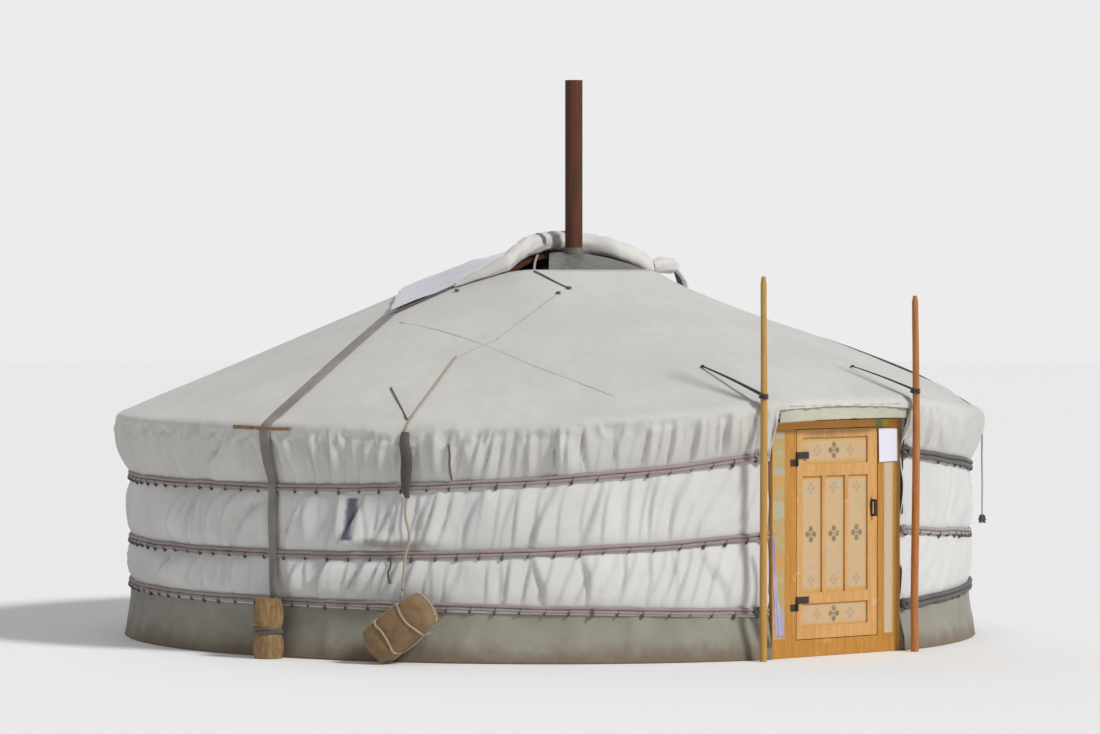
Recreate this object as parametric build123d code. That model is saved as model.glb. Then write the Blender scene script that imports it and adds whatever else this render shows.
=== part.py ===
"""A felt ger: lattice walls, roof poles, crown, felt and canvas covers, door and stove pipe.

The door faces -Y, +X is to its right as one looks in, and +Z is up. The origin lies on the
ground, in the middle of the floor. Angles are in degrees from the door, turning towards +X.
Sizes are in millimetres.
"""

from build123d import *

import os
from math import asin, atan2, cos, degrees, hypot, radians, sin, sqrt, tan

# Lattice walls
LATTICE_RADIUS = 2850.0
SLAT_THICKNESS = 12.0
SLAT_WIDTH = 38.0
SECTIONS = 5
SLATS_A_SECTION = 9
DIAMONDS_HIGH = 3
DIAMOND_HEIGHT = 460.0
LOWEST_CROSSING = 60.0
SLAT_ABOVE_HEAD = 80.0

# Clearance between things that lie on each other, and between a ridge and a flat piece under it
LIE = 0.3
RIDGE_LIE = 0.8

# Roof poles and crown
ROOF_SLOPE = 23.0
POLE_WIDTH = 34.0
POLE_DEPTH = 34.0
POLE_TIP_WIDTH = 24.0
POLE_TIP_DEPTH = 26.0
POLE_OVERHANG = 12.0
CROWN_RADIUS = 700.0
CROWN_RIM_WIDTH = 85.0
CROWN_RIM_HEIGHT = 96.0
CROWN_RIM_ABOVE_POLES = 42.0
MORTISE_DEPTH = 38.0
SPOKES = 8
SPOKE_WIDTH = 36.0
SPOKE_DEPTH = 42.0
SPOKE_RISE = 155.0
SPOKE_BELOW_HUB = 10.0
HUB_RADIUS = 110.0
HUB_HEIGHT = 60.0
POST_RADIUS = 35.0
POST_HEAD_RADIUS = 42.0
POST_HEAD_HEIGHT = 90.0

# Felt and canvas
WALL_FELT = 34.0
WALL_FELT_FOOT = 30.0
WALL_FELT_BELOW_POLES = 14.0
ROOF_FELT = 34.0
ROOF_FELT_OVERHANG = 110.0
FELT_FROM_CROWN = 5.0
CANVAS = 4.0
EAVE_PAST_FELT = 32.0
EAVE_DROP = 9.0
EAVE_LIFT = 150.0
EAVE_LIFT_REACH = 55.0
VALANCE_FLAT = 85.0
EAVE_LIP = 26.0
KNEE_DROP = 4.0
KNEE_PAST_FELT = 7.0
SKIRT_FLARE = 50.0
SKIRT_FLARE_HEIGHT = 250.0
SKIRT_FOOT = 6.0

# Girth ropes: the level of each round the back, and how far it rises beside the door
ROPE_HEIGHT = 50.0
ROPE_THICKNESS = 12.0
UPPER_ROPE_LEVEL = 1100.0
UPPER_ROPE_RISE = 220.0
MIDDLE_ROPE_LEVEL = 670.0
MIDDLE_ROPE_RISE = 130.0
LOWER_ROPE_LEVEL = 365.0
LOWER_ROPE_RISE = -60.0
ROPE_RISE_REACH = 70.0
HEM_BELOW_ROPE = 40.0

# Tie-downs
STRAP_FACET = 9
STRAP_WIDTH = 60.0
STRAP_THICKNESS = 10.0
STRAP_CORNER_ANGLE = -93.3
STRAP_FROM_COVER = 12.0
STRAP_OFF_RIDGE = 1.8
RIGHT_ROPE_FACET = 5
RIGHT_ROPE_WIDTH = 40.0
REAR_ROPE_FACET = 23
STAKE_FROM_STRAP = 1.3
STAKE_RADIUS = 100.0
STAKE_HEIGHT = 390.0
STICK_RADIUS = 14.0
STICK_LENGTH = 490.0
BALLAST_ANGLE = -59.0
BALLAST_LENGTH = 500.0
BALLAST_HEIGHT = 270.0
BALLAST_DEPTH = 270.0
BALLAST_TILT = 37.0
BALLAST_CHAMFER = 45.0
BALLAST_ROPE = 16.0
BALLAST_ROPE_TOP_RADIUS = 2000.0
FREE_STRAP_ANGLE = 50.0
FREE_STRAP_WIDTH = 36.0
FREE_STRAP_THICKNESS = 10.0

# Door
FRAME_WIDTH = 1160.0
FRAME_DEPTH = 110.0
FRAME_PAST_LATTICE = 0.0
LEFT_JAMB = 215.0
RIGHT_JAMB = 205.0
LINTEL_HEIGHT = 50.0
SILL_HEIGHT = 110.0
JAMB_BOARD = 8.0
BOARD_END = 12.0
HEAD_CLOTH = 22.0
HEAD_CLOTH_ARCH = 36.0
HEAD_CLOTH_END = 0.6
DOOR_POLE_LIFT = 45.0
DOOR_FELT_LIFT = 48.5
DOOR_CORNER_FELT_LIFT = 36.0
DOOR_FELT_SHORTER = 60.0
LEFT_BOARD_WIDTH = 104.0
RIGHT_BOARD_WIDTH = 78.0
LEFT_BOARD_INSET = 8.0
RIGHT_BOARD_INSET = 68.0
LEAF_THICKNESS = 42.0
HINGE_GAP = 5.0
LOCK_GAP = 8.0
TOP_GAP = 5.0
LEFT_STILE = 52.0
RIGHT_STILE = 84.0
TOP_RAIL = 52.0
UPPER_RAIL = 77.0
LOWER_RAIL = 70.0
BOTTOM_RAIL = 82.0
TOP_PANEL = 174.0
BOTTOM_PANEL = 147.0
MULLION = 30.0
PANEL_THICKNESS = 14.0
GROOVE = 9.0
PIN_RADIUS = 5.0
PIN_CLEARANCE = 0.08
KNUCKLE_RADIUS = 8.0
KNUCKLE_HEIGHT = 45.0
KNUCKLE_GAP = 1.0
HINGE_STANDS_OFF = 9.0
HINGE_PLATE = 3.0
HINGE_PLATE_LENGTH = 55.0
HINGE_LEVELS = [300.0, 1240.0]
HANDLE_LEVEL = 950.0
HANDLE_HEIGHT = 110.0
HANDLE_BAR = 14.0
HANDLE_REACH = 36.0
HANDLE_FROM_EDGE = 42.0

# Poles that stand beside the door
LEFT_POLE_ANGLE = -14.2
LEFT_POLE_RADIUS = 25.0
LEFT_POLE_HEIGHT = 2470.0
RIGHT_POLE_ANGLE = 11.2
RIGHT_POLE_RADIUS = 27.0
RIGHT_POLE_HEIGHT = 2340.0
POLE_FROM_EAVE = 16.0
POLE_ROPE = 14.0
LEFT_POLE_ROPE_START = 2140.0
RIGHT_POLE_ROPE_START = 2290.0
POLE_KNOT_LIE = 0.9

# Stove pipe
PIPE_RADIUS = 60.0
PIPE_WALL = 2.0
PIPE_FROM_MIDDLE = 250.0
PIPE_FOOT = 700.0
PIPE_TOP = 3810.0
PLATE_THICKNESS = 3.0
PLATE_FACETS = 4
PLATE_BACK = -175.0
PLATE_PAST_RIM = 25.0
COLLAR_WALL = 6.0
COLLAR_HEIGHT = 45.0

# Crown cover, folded back along the middle of the crown
COVER_THICKNESS = 12.0
COVER_LEFT_CORNER = 1363.0
COVER_LEFT_EDGE = -900.0
COVER_LEFT_EDGE_FORWARD = 80.0
COVER_CORNER = 1440.0
COVER_RIGHT_CORNER = 1120.0
COVER_OFF_SPOKES = 3.0
ROLL_RADIUS = 78.0
ROLL_MIDDLE = -25.0
ROLL_LEFT_END = -640.0
ROLL_LEFT_FORWARD = 250.0
ROLL_RIGHT_END = 1170.0

# Sizes that follow
DOOR_HALF = degrees(asin((FRAME_WIDTH / 2 + LIE) / (LATTICE_RADIUS - 2 * SLAT_THICKNESS)))
WALL_FACETS = SECTIONS * SLATS_A_SECTION
PITCH = (360 - 2 * DOOR_HALF) / WALL_FACETS
STRAP_ANGLE = -DOOR_HALF - PITCH * STRAP_FACET
STAKE_ANGLE = STRAP_ANGLE + STAKE_FROM_STRAP
RIGHT_ROPE_ANGLE = DOOR_HALF + PITCH * RIGHT_ROPE_FACET
REAR_ROPE_ANGLE = DOOR_HALF + PITCH * REAR_ROPE_FACET
RIGHT_POLE_ROPE_ANGLE = DOOR_HALF + PITCH
WALL_ANGLES = [DOOR_HALF + PITCH * step for step in range(WALL_FACETS + 1)]
POLE_ANGLES = [0, DOOR_HALF / 2] + WALL_ANGLES + [360 - DOOR_HALF / 2]
THIRD = WALL_FACETS // 3
FACET_WIDTH = 2 * LATTICE_RADIUS * sin(radians(PITCH / 2))
SLAT_LEAN = DIAMOND_HEIGHT / FACET_WIDTH
SLAT_HALF_HEIGHT = SLAT_WIDTH / 2 * hypot(1, SLAT_LEAN)
HEAD = LOWEST_CROSSING + DIAMONDS_HIGH * DIAMOND_HEIGHT
FRAME_FRONT = LATTICE_RADIUS + FRAME_PAST_LATTICE
ROOF_FELT_RADIUS = LATTICE_RADIUS + ROOF_FELT_OVERHANG
EAVE_RADIUS = ROOF_FELT_RADIUS + EAVE_PAST_FELT
SHOULDER = ROOF_FELT_RADIUS - ROOF_FELT
SLOPE = tan(radians(ROOF_SLOPE))
STEEP = 1 / cos(radians(ROOF_SLOPE))
POLE_SEAT = HEAD + SLAT_HALF_HEIGHT + POLE_WIDTH / 2 * SLAT_LEAN + LIE
WALL_FELT_TOP = POLE_SEAT - WALL_FELT_BELOW_POLES
FELT_OUTSIDE = LATTICE_RADIUS + LIE + WALL_FELT
WALL_OUTSIDE = FELT_OUTSIDE + LIE + CANVAS
VALANCE_OUTSIDE = WALL_OUTSIDE + LIE + CANVAS
ROPE_OUTSIDE = VALANCE_OUTSIDE + LIE + ROPE_THICKNESS
FEET_OUTSIDE = FELT_OUTSIDE + LIE + SKIRT_FLARE + SKIRT_FOOT


def turned(angle):
    """The same angle, from -180 to 180."""
    return (angle + 180) % 360 - 180


def door_lift(radius, angle, most, at_corner):
    """How much higher a thing lies over the door, and beside it, than round the rest of the roof."""
    away = abs(turned(angle)) - DOOR_HALF
    lift = most if away < -1 else at_corner if away < 1 else 0.0
    return lift * (radius - CROWN_RADIUS) / (LATTICE_RADIUS - CROWN_RADIUS)


def pole_top(radius, angle=180.0):
    """Height of the upper side of a roof pole, where those over the door end higher."""
    straight = POLE_SEAT + POLE_DEPTH * STEEP + (LATTICE_RADIUS - radius) * SLOPE
    return straight + door_lift(radius, angle, DOOR_POLE_LIFT, 0.0)


def felt_top(radius):
    return pole_top(radius) + RIDGE_LIE + ROOF_FELT * STEEP


def canvas_top(radius):
    return felt_top(radius) + LIE + CANVAS * STEEP


EAVE_HEIGHT = pole_top(SHOULDER) - EAVE_DROP
CROWN_TOP = pole_top(CROWN_RADIUS) + CROWN_RIM_ABOVE_POLES
CROWN_FOOT = CROWN_TOP - CROWN_RIM_HEIGHT
HUB_TOP = CROWN_TOP + SPOKE_RISE
LINTEL_TOP = pole_top(FRAME_FRONT / cos(radians(DOOR_HALF / 2)), DOOR_HALF / 2) - POLE_DEPTH * STEEP - LIE
LINTEL_FOOT = LINTEL_TOP - LINTEL_HEIGHT
LEAF_LEFT = -FRAME_WIDTH / 2 + LEFT_JAMB + HINGE_GAP
LEAF_RIGHT = FRAME_WIDTH / 2 - RIGHT_JAMB - LOCK_GAP
LEAF_FOOT = SILL_HEIGHT + TOP_GAP
LEAF_TOP = LINTEL_FOOT - TOP_GAP
HINGE_X = LEAF_LEFT - HINGE_GAP / 2
HINGE_Y = -FRAME_FRONT - HINGE_STANDS_OFF


def polar(radius, angle, z, aside=0.0):
    """Point at a radius and angle, moved aside along the wall towards larger angles."""
    turn = radians(angle)
    return Vector(radius * sin(turn) + aside * cos(turn), aside * sin(turn) - radius * cos(turn), z)


def flat_face(points):
    return Face(Wire.make_polygon(points, close=True))


def patch(a, b, c, d):
    """One flat face with four corners, or two with three where the corners don't lie flat."""
    normal = (b - a).cross(c - a).normalized()
    if abs(normal.dot(d - a)) < 1e-6:
        return [flat_face([a, b, c, d])]
    return [flat_face([a, b, c]), flat_face([a, c, d])]


def joined(sections, closed=False):
    """Solid with flat facets between outlines of as many points each."""
    rows = sections + sections[:1] if closed else sections
    faces = []
    for near, far in zip(rows, rows[1:]):
        for corner in range(len(near)):
            after = (corner + 1) % len(near)
            faces += patch(near[corner], near[after], far[after], far[corner])
    if not closed:
        faces += [flat_face(sections[0]), flat_face(sections[-1])]
    return Solid(Shell(faces))


def ring(outline_at, angles, closed=False):
    """Faceted ring or arc, with the outline of radii and heights that outline_at gives."""
    sections = [[polar(radius, angle, z) for radius, z in outline_at(angle)] for angle in angles]
    return joined(sections, closed)


def box(low, high):
    """Box between two corners."""
    size = [high[axis] - low[axis] for axis in range(3)]
    return Pos(*low) * Box(*size, align=(Align.MIN, Align.MIN, Align.MIN))


def faceted(radius, foot, top, x, y, sides=12):
    """Upright post with flat sides."""
    sections = []
    for z in (foot, top):
        turns = [radians(360 / sides * side) for side in range(sides)]
        sections.append([Vector(x + radius * cos(turn), y + radius * sin(turn), z) for turn in turns])
    return joined(sections)


def upright(radius, foot, top, x, y):
    return Pos(x, y, foot) * Cylinder(radius, top - foot, align=(Align.CENTER, Align.CENTER, Align.MIN))


def rod(start, end, radius):
    """Round rod between two points."""
    way = end - start
    return Plane(origin=start, z_dir=way) * Cylinder(
        radius, way.length, align=(Align.CENTER, Align.CENTER, Align.MIN)
    )


def skin(radius, angle):
    """Radius of a faceted wall at any angle, where its corners lie at the given radius."""
    step = (abs(turned(angle)) - DOOR_HALF) % PITCH
    return radius * cos(radians(PITCH / 2)) / cos(radians(step - PITCH / 2))


def door_rise(angle, reach):
    """1 beside the door, falling to 0 over the given angle."""
    away = max(0.0, abs(turned(angle)) - DOOR_HALF)
    return max(0.0, 1 - away / reach) ** 2


def roof_surface(radius, angle):
    """Height of the roof canvas, which rises towards the door."""
    inner = CROWN_RADIUS + FELT_FROM_CROWN
    lift = EAVE_LIFT * door_rise(angle, EAVE_LIFT_REACH)
    return canvas_top(radius) + lift * (radius - inner) / (SHOULDER - inner)


def upper_rope(angle):
    return UPPER_ROPE_LEVEL + UPPER_ROPE_RISE * door_rise(angle, ROPE_RISE_REACH)


def middle_rope(angle):
    return MIDDLE_ROPE_LEVEL + MIDDLE_ROPE_RISE * door_rise(angle, ROPE_RISE_REACH)


def lower_rope(angle):
    return LOWER_ROPE_LEVEL + LOWER_ROPE_RISE * door_rise(angle, ROPE_RISE_REACH)


def slat_section(start_angle, inner, facets_along, z):
    """Outline of a slat where it crosses an upright line of its section of wall."""
    whole = min(int(facets_along), SLATS_A_SECTION - 1)
    part = facets_along - whole
    points = []
    for radius, level in [(inner, -1), (inner + SLAT_THICKNESS, -1), (inner + SLAT_THICKNESS, 1), (inner, 1)]:
        near = polar(radius, start_angle + PITCH * whole, z + level * SLAT_HALF_HEIGHT)
        far = polar(radius, start_angle + PITCH * (whole + 1), z + level * SLAT_HALF_HEIGHT)
        points.append(near + (far - near) * part)
    return points


def slat(start_angle, foot, way):
    """One bent slat that crosses the lowest line at foot and leans along way, 1 or -1."""
    inner = LATTICE_RADIUS - (2 if way > 0 else 1) * SLAT_THICKNESS
    below = (LOWEST_CROSSING - SLAT_HALF_HEIGHT) / DIAMOND_HEIGHT
    above = (SLAT_ABOVE_HEAD - SLAT_HALF_HEIGHT) / DIAMOND_HEIGHT
    ends = sorted([foot - way * below, foot + way * (DIAMONDS_HIGH + above)])
    low, high = max(0.0, ends[0]), min(float(SLATS_A_SECTION), ends[1])
    stops = [low] + [s for s in range(SLATS_A_SECTION + 1) if low + 1e-6 < s < high - 1e-6] + [high]
    sections = []
    for stop in stops:
        z = LOWEST_CROSSING + DIAMOND_HEIGHT * way * (stop - foot)
        sections.append(slat_section(start_angle, inner, stop, z))
    return joined(sections)


def lattice_section(start_angle):
    """One folding wall: two layers of crossed slats, joined at each crossing."""
    rising = range(1 - DIAMONDS_HIGH, SLATS_A_SECTION)
    slats = [slat(start_angle, foot, 1) for foot in rising]
    slats += [slat(start_angle, SLATS_A_SECTION - foot, -1) for foot in rising]
    return slats[0].fuse(*slats[1:])


def wall_felt(first, last):
    inner = LATTICE_RADIUS + LIE
    outline = [
        (inner, WALL_FELT_FOOT),
        (FELT_OUTSIDE, WALL_FELT_FOOT),
        (FELT_OUTSIDE, WALL_FELT_TOP),
        (inner, WALL_FELT_TOP),
    ]
    return ring(lambda angle: outline, WALL_ANGLES[first : last + 1])


def wall_canvas():
    inner = FELT_OUTSIDE + LIE

    def outline(angle):
        foot = lower_rope(angle)
        return [(inner, foot), (WALL_OUTSIDE, foot), (WALL_OUTSIDE, WALL_FELT_TOP), (inner, WALL_FELT_TOP)]

    return ring(outline, WALL_ANGLES)


def skirt(first, last):
    """Ground skirt: upright under the lower rope, then flared out to the ground."""
    inner = FELT_OUTSIDE + LIE

    def outline(angle):
        top = lower_rope(angle) - LIE
        return [
            (inner, top),
            (inner, SKIRT_FLARE_HEIGHT),
            (inner + SKIRT_FLARE, 0.0),
            (inner + SKIRT_FLARE + SKIRT_FOOT, 0.0),
            (WALL_OUTSIDE, SKIRT_FLARE_HEIGHT),
            (WALL_OUTSIDE, top),
        ]

    return ring(outline, WALL_ANGLES[first : last + 1])


def pole(angle, inner_radius, outer_radius, clearance=0.0):
    """Tapered square roof pole, or the space that it needs in the crown."""
    length = LATTICE_RADIUS - (CROWN_RADIUS - MORTISE_DEPTH)
    sections = []
    for radius in (inner_radius, outer_radius):
        share = (radius - (CROWN_RADIUS - MORTISE_DEPTH)) / length
        half = (POLE_TIP_WIDTH + (POLE_WIDTH - POLE_TIP_WIDTH) * share) / 2 + clearance
        depth = (POLE_TIP_DEPTH + (POLE_DEPTH - POLE_TIP_DEPTH) * share) * STEEP
        top = pole_top(radius, angle) + clearance
        foot = pole_top(radius, angle) - depth - clearance
        sections.append(
            [
                polar(radius, angle, foot, -half),
                polar(radius, angle, foot, half),
                polar(radius, angle, top, half),
                polar(radius, angle, top, -half),
            ]
        )
    return joined(sections)


def roof_poles():
    tip = CROWN_RADIUS - MORTISE_DEPTH
    foot = LATTICE_RADIUS + POLE_OVERHANG
    return Compound(children=[pole(angle, tip, foot) for angle in POLE_ANGLES])


def crown_ring():
    """Wooden rim, one flat to each pole, with a slanted mortise in each flat."""
    corners = []
    for angle, after in zip(POLE_ANGLES, POLE_ANGLES[1:] + [360]):
        corners.append((angle + after) / 2)
    inner = CROWN_RADIUS - CROWN_RIM_WIDTH
    outline = [(inner, CROWN_FOOT), (CROWN_RADIUS, CROWN_FOOT), (CROWN_RADIUS, CROWN_TOP), (inner, CROWN_TOP)]
    rim = ring(lambda angle: outline, corners, closed=True)
    seat = CROWN_RADIUS - MORTISE_DEPTH - LIE
    cuts = [pole(angle, seat, CROWN_RADIUS + MORTISE_DEPTH, LIE) for angle in POLE_ANGLES]
    return rim.cut(*cuts)


def spoke_radius():
    """Radius of the arc that the spokes' upper edges lie on."""
    foot = CROWN_RADIUS - LIE
    rise = SPOKE_RISE - SPOKE_BELOW_HUB
    return (foot**2 + rise**2) / (2 * rise)


def spoke_top(radius, depth=0.0):
    """Height of the spokes' upper edge, or of a line that much deeper."""
    arc = spoke_radius()
    middle = CROWN_TOP + SPOKE_RISE - SPOKE_BELOW_HUB - arc
    return middle + sqrt((arc - depth) ** 2 - radius**2)


def spoke():
    """Bent spoke that stands on the rim and runs up to the hub."""
    foot = CROWN_RADIUS - LIE
    arc = spoke_radius()
    drop = arc - SPOKE_RISE + SPOKE_BELOW_HUB
    inner_foot = sqrt((arc - SPOKE_DEPTH) ** 2 - drop**2)
    tip = HUB_RADIUS / 2
    middle = (foot + tip) / 2
    with BuildPart() as made:
        with BuildSketch(Plane.XZ):
            with BuildLine():
                Line((inner_foot, CROWN_TOP), (foot, CROWN_TOP))
                ThreePointArc((foot, CROWN_TOP), (middle, spoke_top(middle)), (tip, spoke_top(tip)))
                Line((tip, spoke_top(tip)), (tip, spoke_top(tip, SPOKE_DEPTH)))
                ThreePointArc(
                    (tip, spoke_top(tip, SPOKE_DEPTH)),
                    (middle, spoke_top(middle, SPOKE_DEPTH)),
                    (inner_foot, CROWN_TOP),
                )
            make_face()
        extrude(amount=SPOKE_WIDTH / 2, both=True)
    return made.part


def crown_spokes():
    one = spoke()
    hub = upright(HUB_RADIUS, HUB_TOP - HUB_HEIGHT, HUB_TOP, 0, 0)
    turns = [Rot(0, 0, 360 / SPOKES * (step + 0.5) - 90) * one for step in range(SPOKES)]
    return hub.fuse(*turns)


def crown_posts():
    """Two posts under the crown, each with a wider head."""
    middle = CROWN_RADIUS - CROWN_RIM_WIDTH / 2
    posts = []
    for side in (-1, 1):
        shaft = faceted(POST_RADIUS, 0, CROWN_FOOT, side * middle, 0)
        head = faceted(POST_HEAD_RADIUS, CROWN_FOOT - POST_HEAD_HEIGHT, CROWN_FOOT, side * middle, 0)
        posts.append(shaft.fuse(head))
    return Compound(children=posts)


def flue_plate():
    """Bent sheet over the front of the crown, from the roof up, with a collar round the pipe."""
    edge = CROWN_RADIUS + PLATE_PAST_RIM
    stops = [(radius, z + LIE) for radius, z in cover_stops()[1:5] + [(edge, roof_surface(edge, 0))]]
    outline = stops + [(radius, z + PLATE_THICKNESS) for radius, z in stops[::-1]]
    angles = WALL_ANGLES[: PLATE_FACETS + 1]
    beside = [-angle for angle in angles[::-1]]
    sheet = ring(lambda angle: outline, beside + [-DOOR_HALF / 2, 0, DOOR_HALF / 2] + angles)
    behind = box((-CROWN_RADIUS, PLATE_BACK, CROWN_FOOT), (CROWN_RADIUS, CROWN_RADIUS, 2 * HUB_TOP))
    top = cover_line(PIPE_FROM_MIDDLE)
    low = top - COLLAR_HEIGHT / 2
    collar = upright(PIPE_RADIUS + LIE + COLLAR_WALL, low, top + COLLAR_HEIGHT, 0, -PIPE_FROM_MIDDLE)
    hole = upright(PIPE_RADIUS + LIE, low - COLLAR_HEIGHT, top + 2 * COLLAR_HEIGHT, 0, -PIPE_FROM_MIDDLE)
    return sheet.cut(behind).fuse(collar).cut(hole)


def flue_pipe():
    outside = upright(PIPE_RADIUS, PIPE_FOOT, PIPE_TOP, 0, -PIPE_FROM_MIDDLE)
    inside = upright(PIPE_RADIUS - PIPE_WALL, PIPE_FOOT - 1, PIPE_TOP + 1, 0, -PIPE_FROM_MIDDLE)
    return outside.cut(inside)


def roof_felt(angles):
    """Felt that lies on the poles, from the crown to just past the wall."""
    inner = CROWN_RADIUS + FELT_FROM_CROWN

    def outline(angle):
        shorter = DOOR_FELT_SHORTER if abs(turned(angle)) < DOOR_HALF + 1 else 0.0
        shoulder = SHOULDER - shorter
        edge = ROOF_FELT_RADIUS - shorter
        stops = [
            (inner, pole_top(inner) + RIDGE_LIE),
            (shoulder, pole_top(shoulder) + RIDGE_LIE),
            (edge, pole_top(shoulder) + RIDGE_LIE),
            (edge, pole_top(shoulder) + ROOF_FELT / 2),
            (shoulder, felt_top(shoulder)),
            (inner, felt_top(inner)),
        ]
        lifts = [door_lift(radius, angle, DOOR_FELT_LIFT, DOOR_CORNER_FELT_LIFT) for radius, z in stops]
        return [(radius, z + lift) for (radius, z), lift in zip(stops, lifts)]

    return ring(outline, angles)


def roof_canvas():
    """Outer roof cloth: over the felt, round the eave and down to the upper rope."""
    inner = CROWN_RADIUS + FELT_FROM_CROWN
    hem_radius = WALL_OUTSIDE + LIE

    def outline(angle):
        lift = EAVE_LIFT * door_rise(angle, EAVE_LIFT_REACH)
        eave = EAVE_HEIGHT + lift
        hem = upper_rope(angle) - HEM_BELOW_ROPE
        flat = (hem_radius, hem + VALANCE_FLAT)
        foot = (hem_radius, hem)
        below = (lift + KNEE_DROP) / (eave - flat[1])
        straight = EAVE_RADIUS - (EAVE_RADIUS - hem_radius) * below
        knee = (max(ROOF_FELT_RADIUS + KNEE_PAST_FELT, straight), EAVE_HEIGHT - KNEE_DROP)
        if abs(turned(angle)) < DOOR_HALF - 1e-6:
            knee = (EAVE_RADIUS - CANVAS / 2, eave - EAVE_LIP / 4)
            flat = (EAVE_RADIUS - CANVAS, eave - EAVE_LIP / 2)
            foot = (EAVE_RADIUS - CANVAS, eave - EAVE_LIP)
        return [
            (inner, felt_top(inner) + LIE),
            (SHOULDER, felt_top(SHOULDER) + LIE + lift),
            (EAVE_RADIUS - 17, eave + 24),
            (EAVE_RADIUS, eave),
            knee,
            flat,
            foot,
            (foot[0] + CANVAS, foot[1]),
            (flat[0] + CANVAS, flat[1] + CANVAS / 2),
            (knee[0] + CANVAS, knee[1] + CANVAS / 4),
            (EAVE_RADIUS + CANVAS, eave),
            (EAVE_RADIUS - 14, eave + 24 + CANVAS),
            (SHOULDER, canvas_top(SHOULDER) + lift),
            (inner, canvas_top(inner)),
        ]

    beside_door = DOOR_HALF - HEAD_CLOTH_END
    angles = [0, DOOR_HALF / 2, beside_door] + WALL_ANGLES + [360 - beside_door, 360 - DOOR_HALF / 2]
    return ring(outline, angles, closed=True)


def girth_rope(level_at, inner):
    def outline(angle):
        low = level_at(angle) - ROPE_HEIGHT / 2
        high = low + ROPE_HEIGHT
        outer = inner + ROPE_THICKNESS
        return [(inner, low), (outer, low), (outer, high), (inner, high)]

    return ring(outline, WALL_ANGLES)


def upright_strip(points, angle, width, radius_at):
    """Strip across the wall: an outline of radii and heights, with a width along the wall."""
    sections = []
    for side in (-1, 1):
        sections.append([polar(radius_at(r), angle, z, side * width / 2) for r, z in points])
    return joined(sections)


def roof_height(x, y):
    """Height of the faceted roof canvas over a place, behind and beside the door."""
    angle = degrees(atan2(x, -y))
    step = (abs(angle) - DOOR_HALF) % PITCH
    radius = hypot(x, y) * cos(radians(step - PITCH / 2)) / cos(radians(PITCH / 2))
    return roof_surface(radius, angle)


def roof_sections(start, end_angle, width):
    """Sections of a flat rope on the roof, from a place straight to the shoulder at an angle."""
    end = polar(SHOULDER, end_angle, 0)
    way = (end - start).normalized()
    aside = Vector(-way.Y, way.X, 0) * (width / 2)
    places = []
    for angle in [degrees(atan2(start.X, -start.Y))] + WALL_ANGLES:
        turn = radians(angle)
        across = Vector(cos(turn), sin(turn), 0)
        if abs(way.dot(across)) < 1e-6:
            continue
        share = -start.dot(across) / way.dot(across)
        place = start + way * share
        if -0.01 <= share <= (end - start).length + 0.01 and place.dot(polar(1, angle, 0)) > 0:
            places.append((share, place))
    sections = []
    for share, place in sorted(places, key=lambda found: found[0]):
        section = []
        for side, above in ((-1, 0), (1, 0), (1, STRAP_THICKNESS), (-1, STRAP_THICKNESS)):
            corner = place + aside * side
            section.append(Vector(corner.X, corner.Y, roof_height(corner.X, corner.Y) + STRAP_OFF_RIDGE + above))
        sections.append(section)
    return sections


def hung_sections(route, angle, width):
    """Sections of a flat rope down the wall, from inner radii and heights and how far it stands out."""
    sections = []
    for radius, z, out, up in route:
        section = []
        for side, share in ((-1, 0), (1, 0), (1, 1), (-1, 1)):
            section.append(polar(radius + out * share, angle, z + up * share, side * width / 2))
        sections.append(section)
    return sections


def over_the_eave(angle):
    """Route of a flat rope round the eave."""
    lift = EAVE_LIFT * door_rise(angle, EAVE_LIFT_REACH)
    lean = STRAP_THICKNESS * sin(radians(45))
    return [
        (EAVE_RADIUS - 14 + LIE, EAVE_HEIGHT + 24 + CANVAS + lift + LIE, lean, lean),
        (EAVE_RADIUS + CANVAS + LIE, EAVE_HEIGHT + lift, STRAP_THICKNESS, 0),
    ]


def left_tie_rope():
    """Flat rope from the crown cover's left corner, over the eave and down to its stake."""
    start = polar(COVER_LEFT_CORNER + STRAP_FROM_COVER, STRAP_CORNER_ANGLE, 0)
    route = over_the_eave(STRAP_ANGLE) + [
        (ROPE_OUTSIDE + LIE, upper_rope(STRAP_ANGLE) + ROPE_HEIGHT / 2, STRAP_THICKNESS, 0),
        (ROPE_OUTSIDE + LIE, LOWER_ROPE_LEVEL + 2 * ROPE_HEIGHT, STRAP_THICKNESS, 0),
        (FEET_OUTSIDE + STAKE_RADIUS / 2, STAKE_HEIGHT + LIE, STRAP_THICKNESS, 0),
    ]
    sections = roof_sections(start, STRAP_ANGLE, STRAP_WIDTH)
    return joined(sections + hung_sections(route, STRAP_ANGLE, STRAP_WIDTH))


def right_tie_rope():
    """Flat rope from the rolled fold's end to the eave, where its free end hangs."""
    start = Vector(ROLL_RIGHT_END + STRAP_FROM_COVER, ROLL_MIDDLE, 0)
    sections = roof_sections(start, RIGHT_ROPE_ANGLE, RIGHT_ROPE_WIDTH)
    return joined(sections + hung_sections(over_the_eave(RIGHT_ROPE_ANGLE), RIGHT_ROPE_ANGLE, RIGHT_ROPE_WIDTH))


def rear_tie_rope():
    """Flat rope from the crown cover's rear corner down to the upper girth rope."""
    start = Vector(0, COVER_CORNER + STRAP_FROM_COVER, 0)
    route = over_the_eave(REAR_ROPE_ANGLE)
    route.append((ROPE_OUTSIDE + LIE, UPPER_ROPE_LEVEL + ROPE_HEIGHT / 2, STRAP_THICKNESS, 0))
    route.append((ROPE_OUTSIDE + LIE, UPPER_ROPE_LEVEL - ROPE_HEIGHT, STRAP_THICKNESS, 0))
    sections = roof_sections(start, REAR_ROPE_ANGLE, STRAP_WIDTH)
    return joined(sections + hung_sections(route, REAR_ROPE_ANGLE, STRAP_WIDTH))


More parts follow.
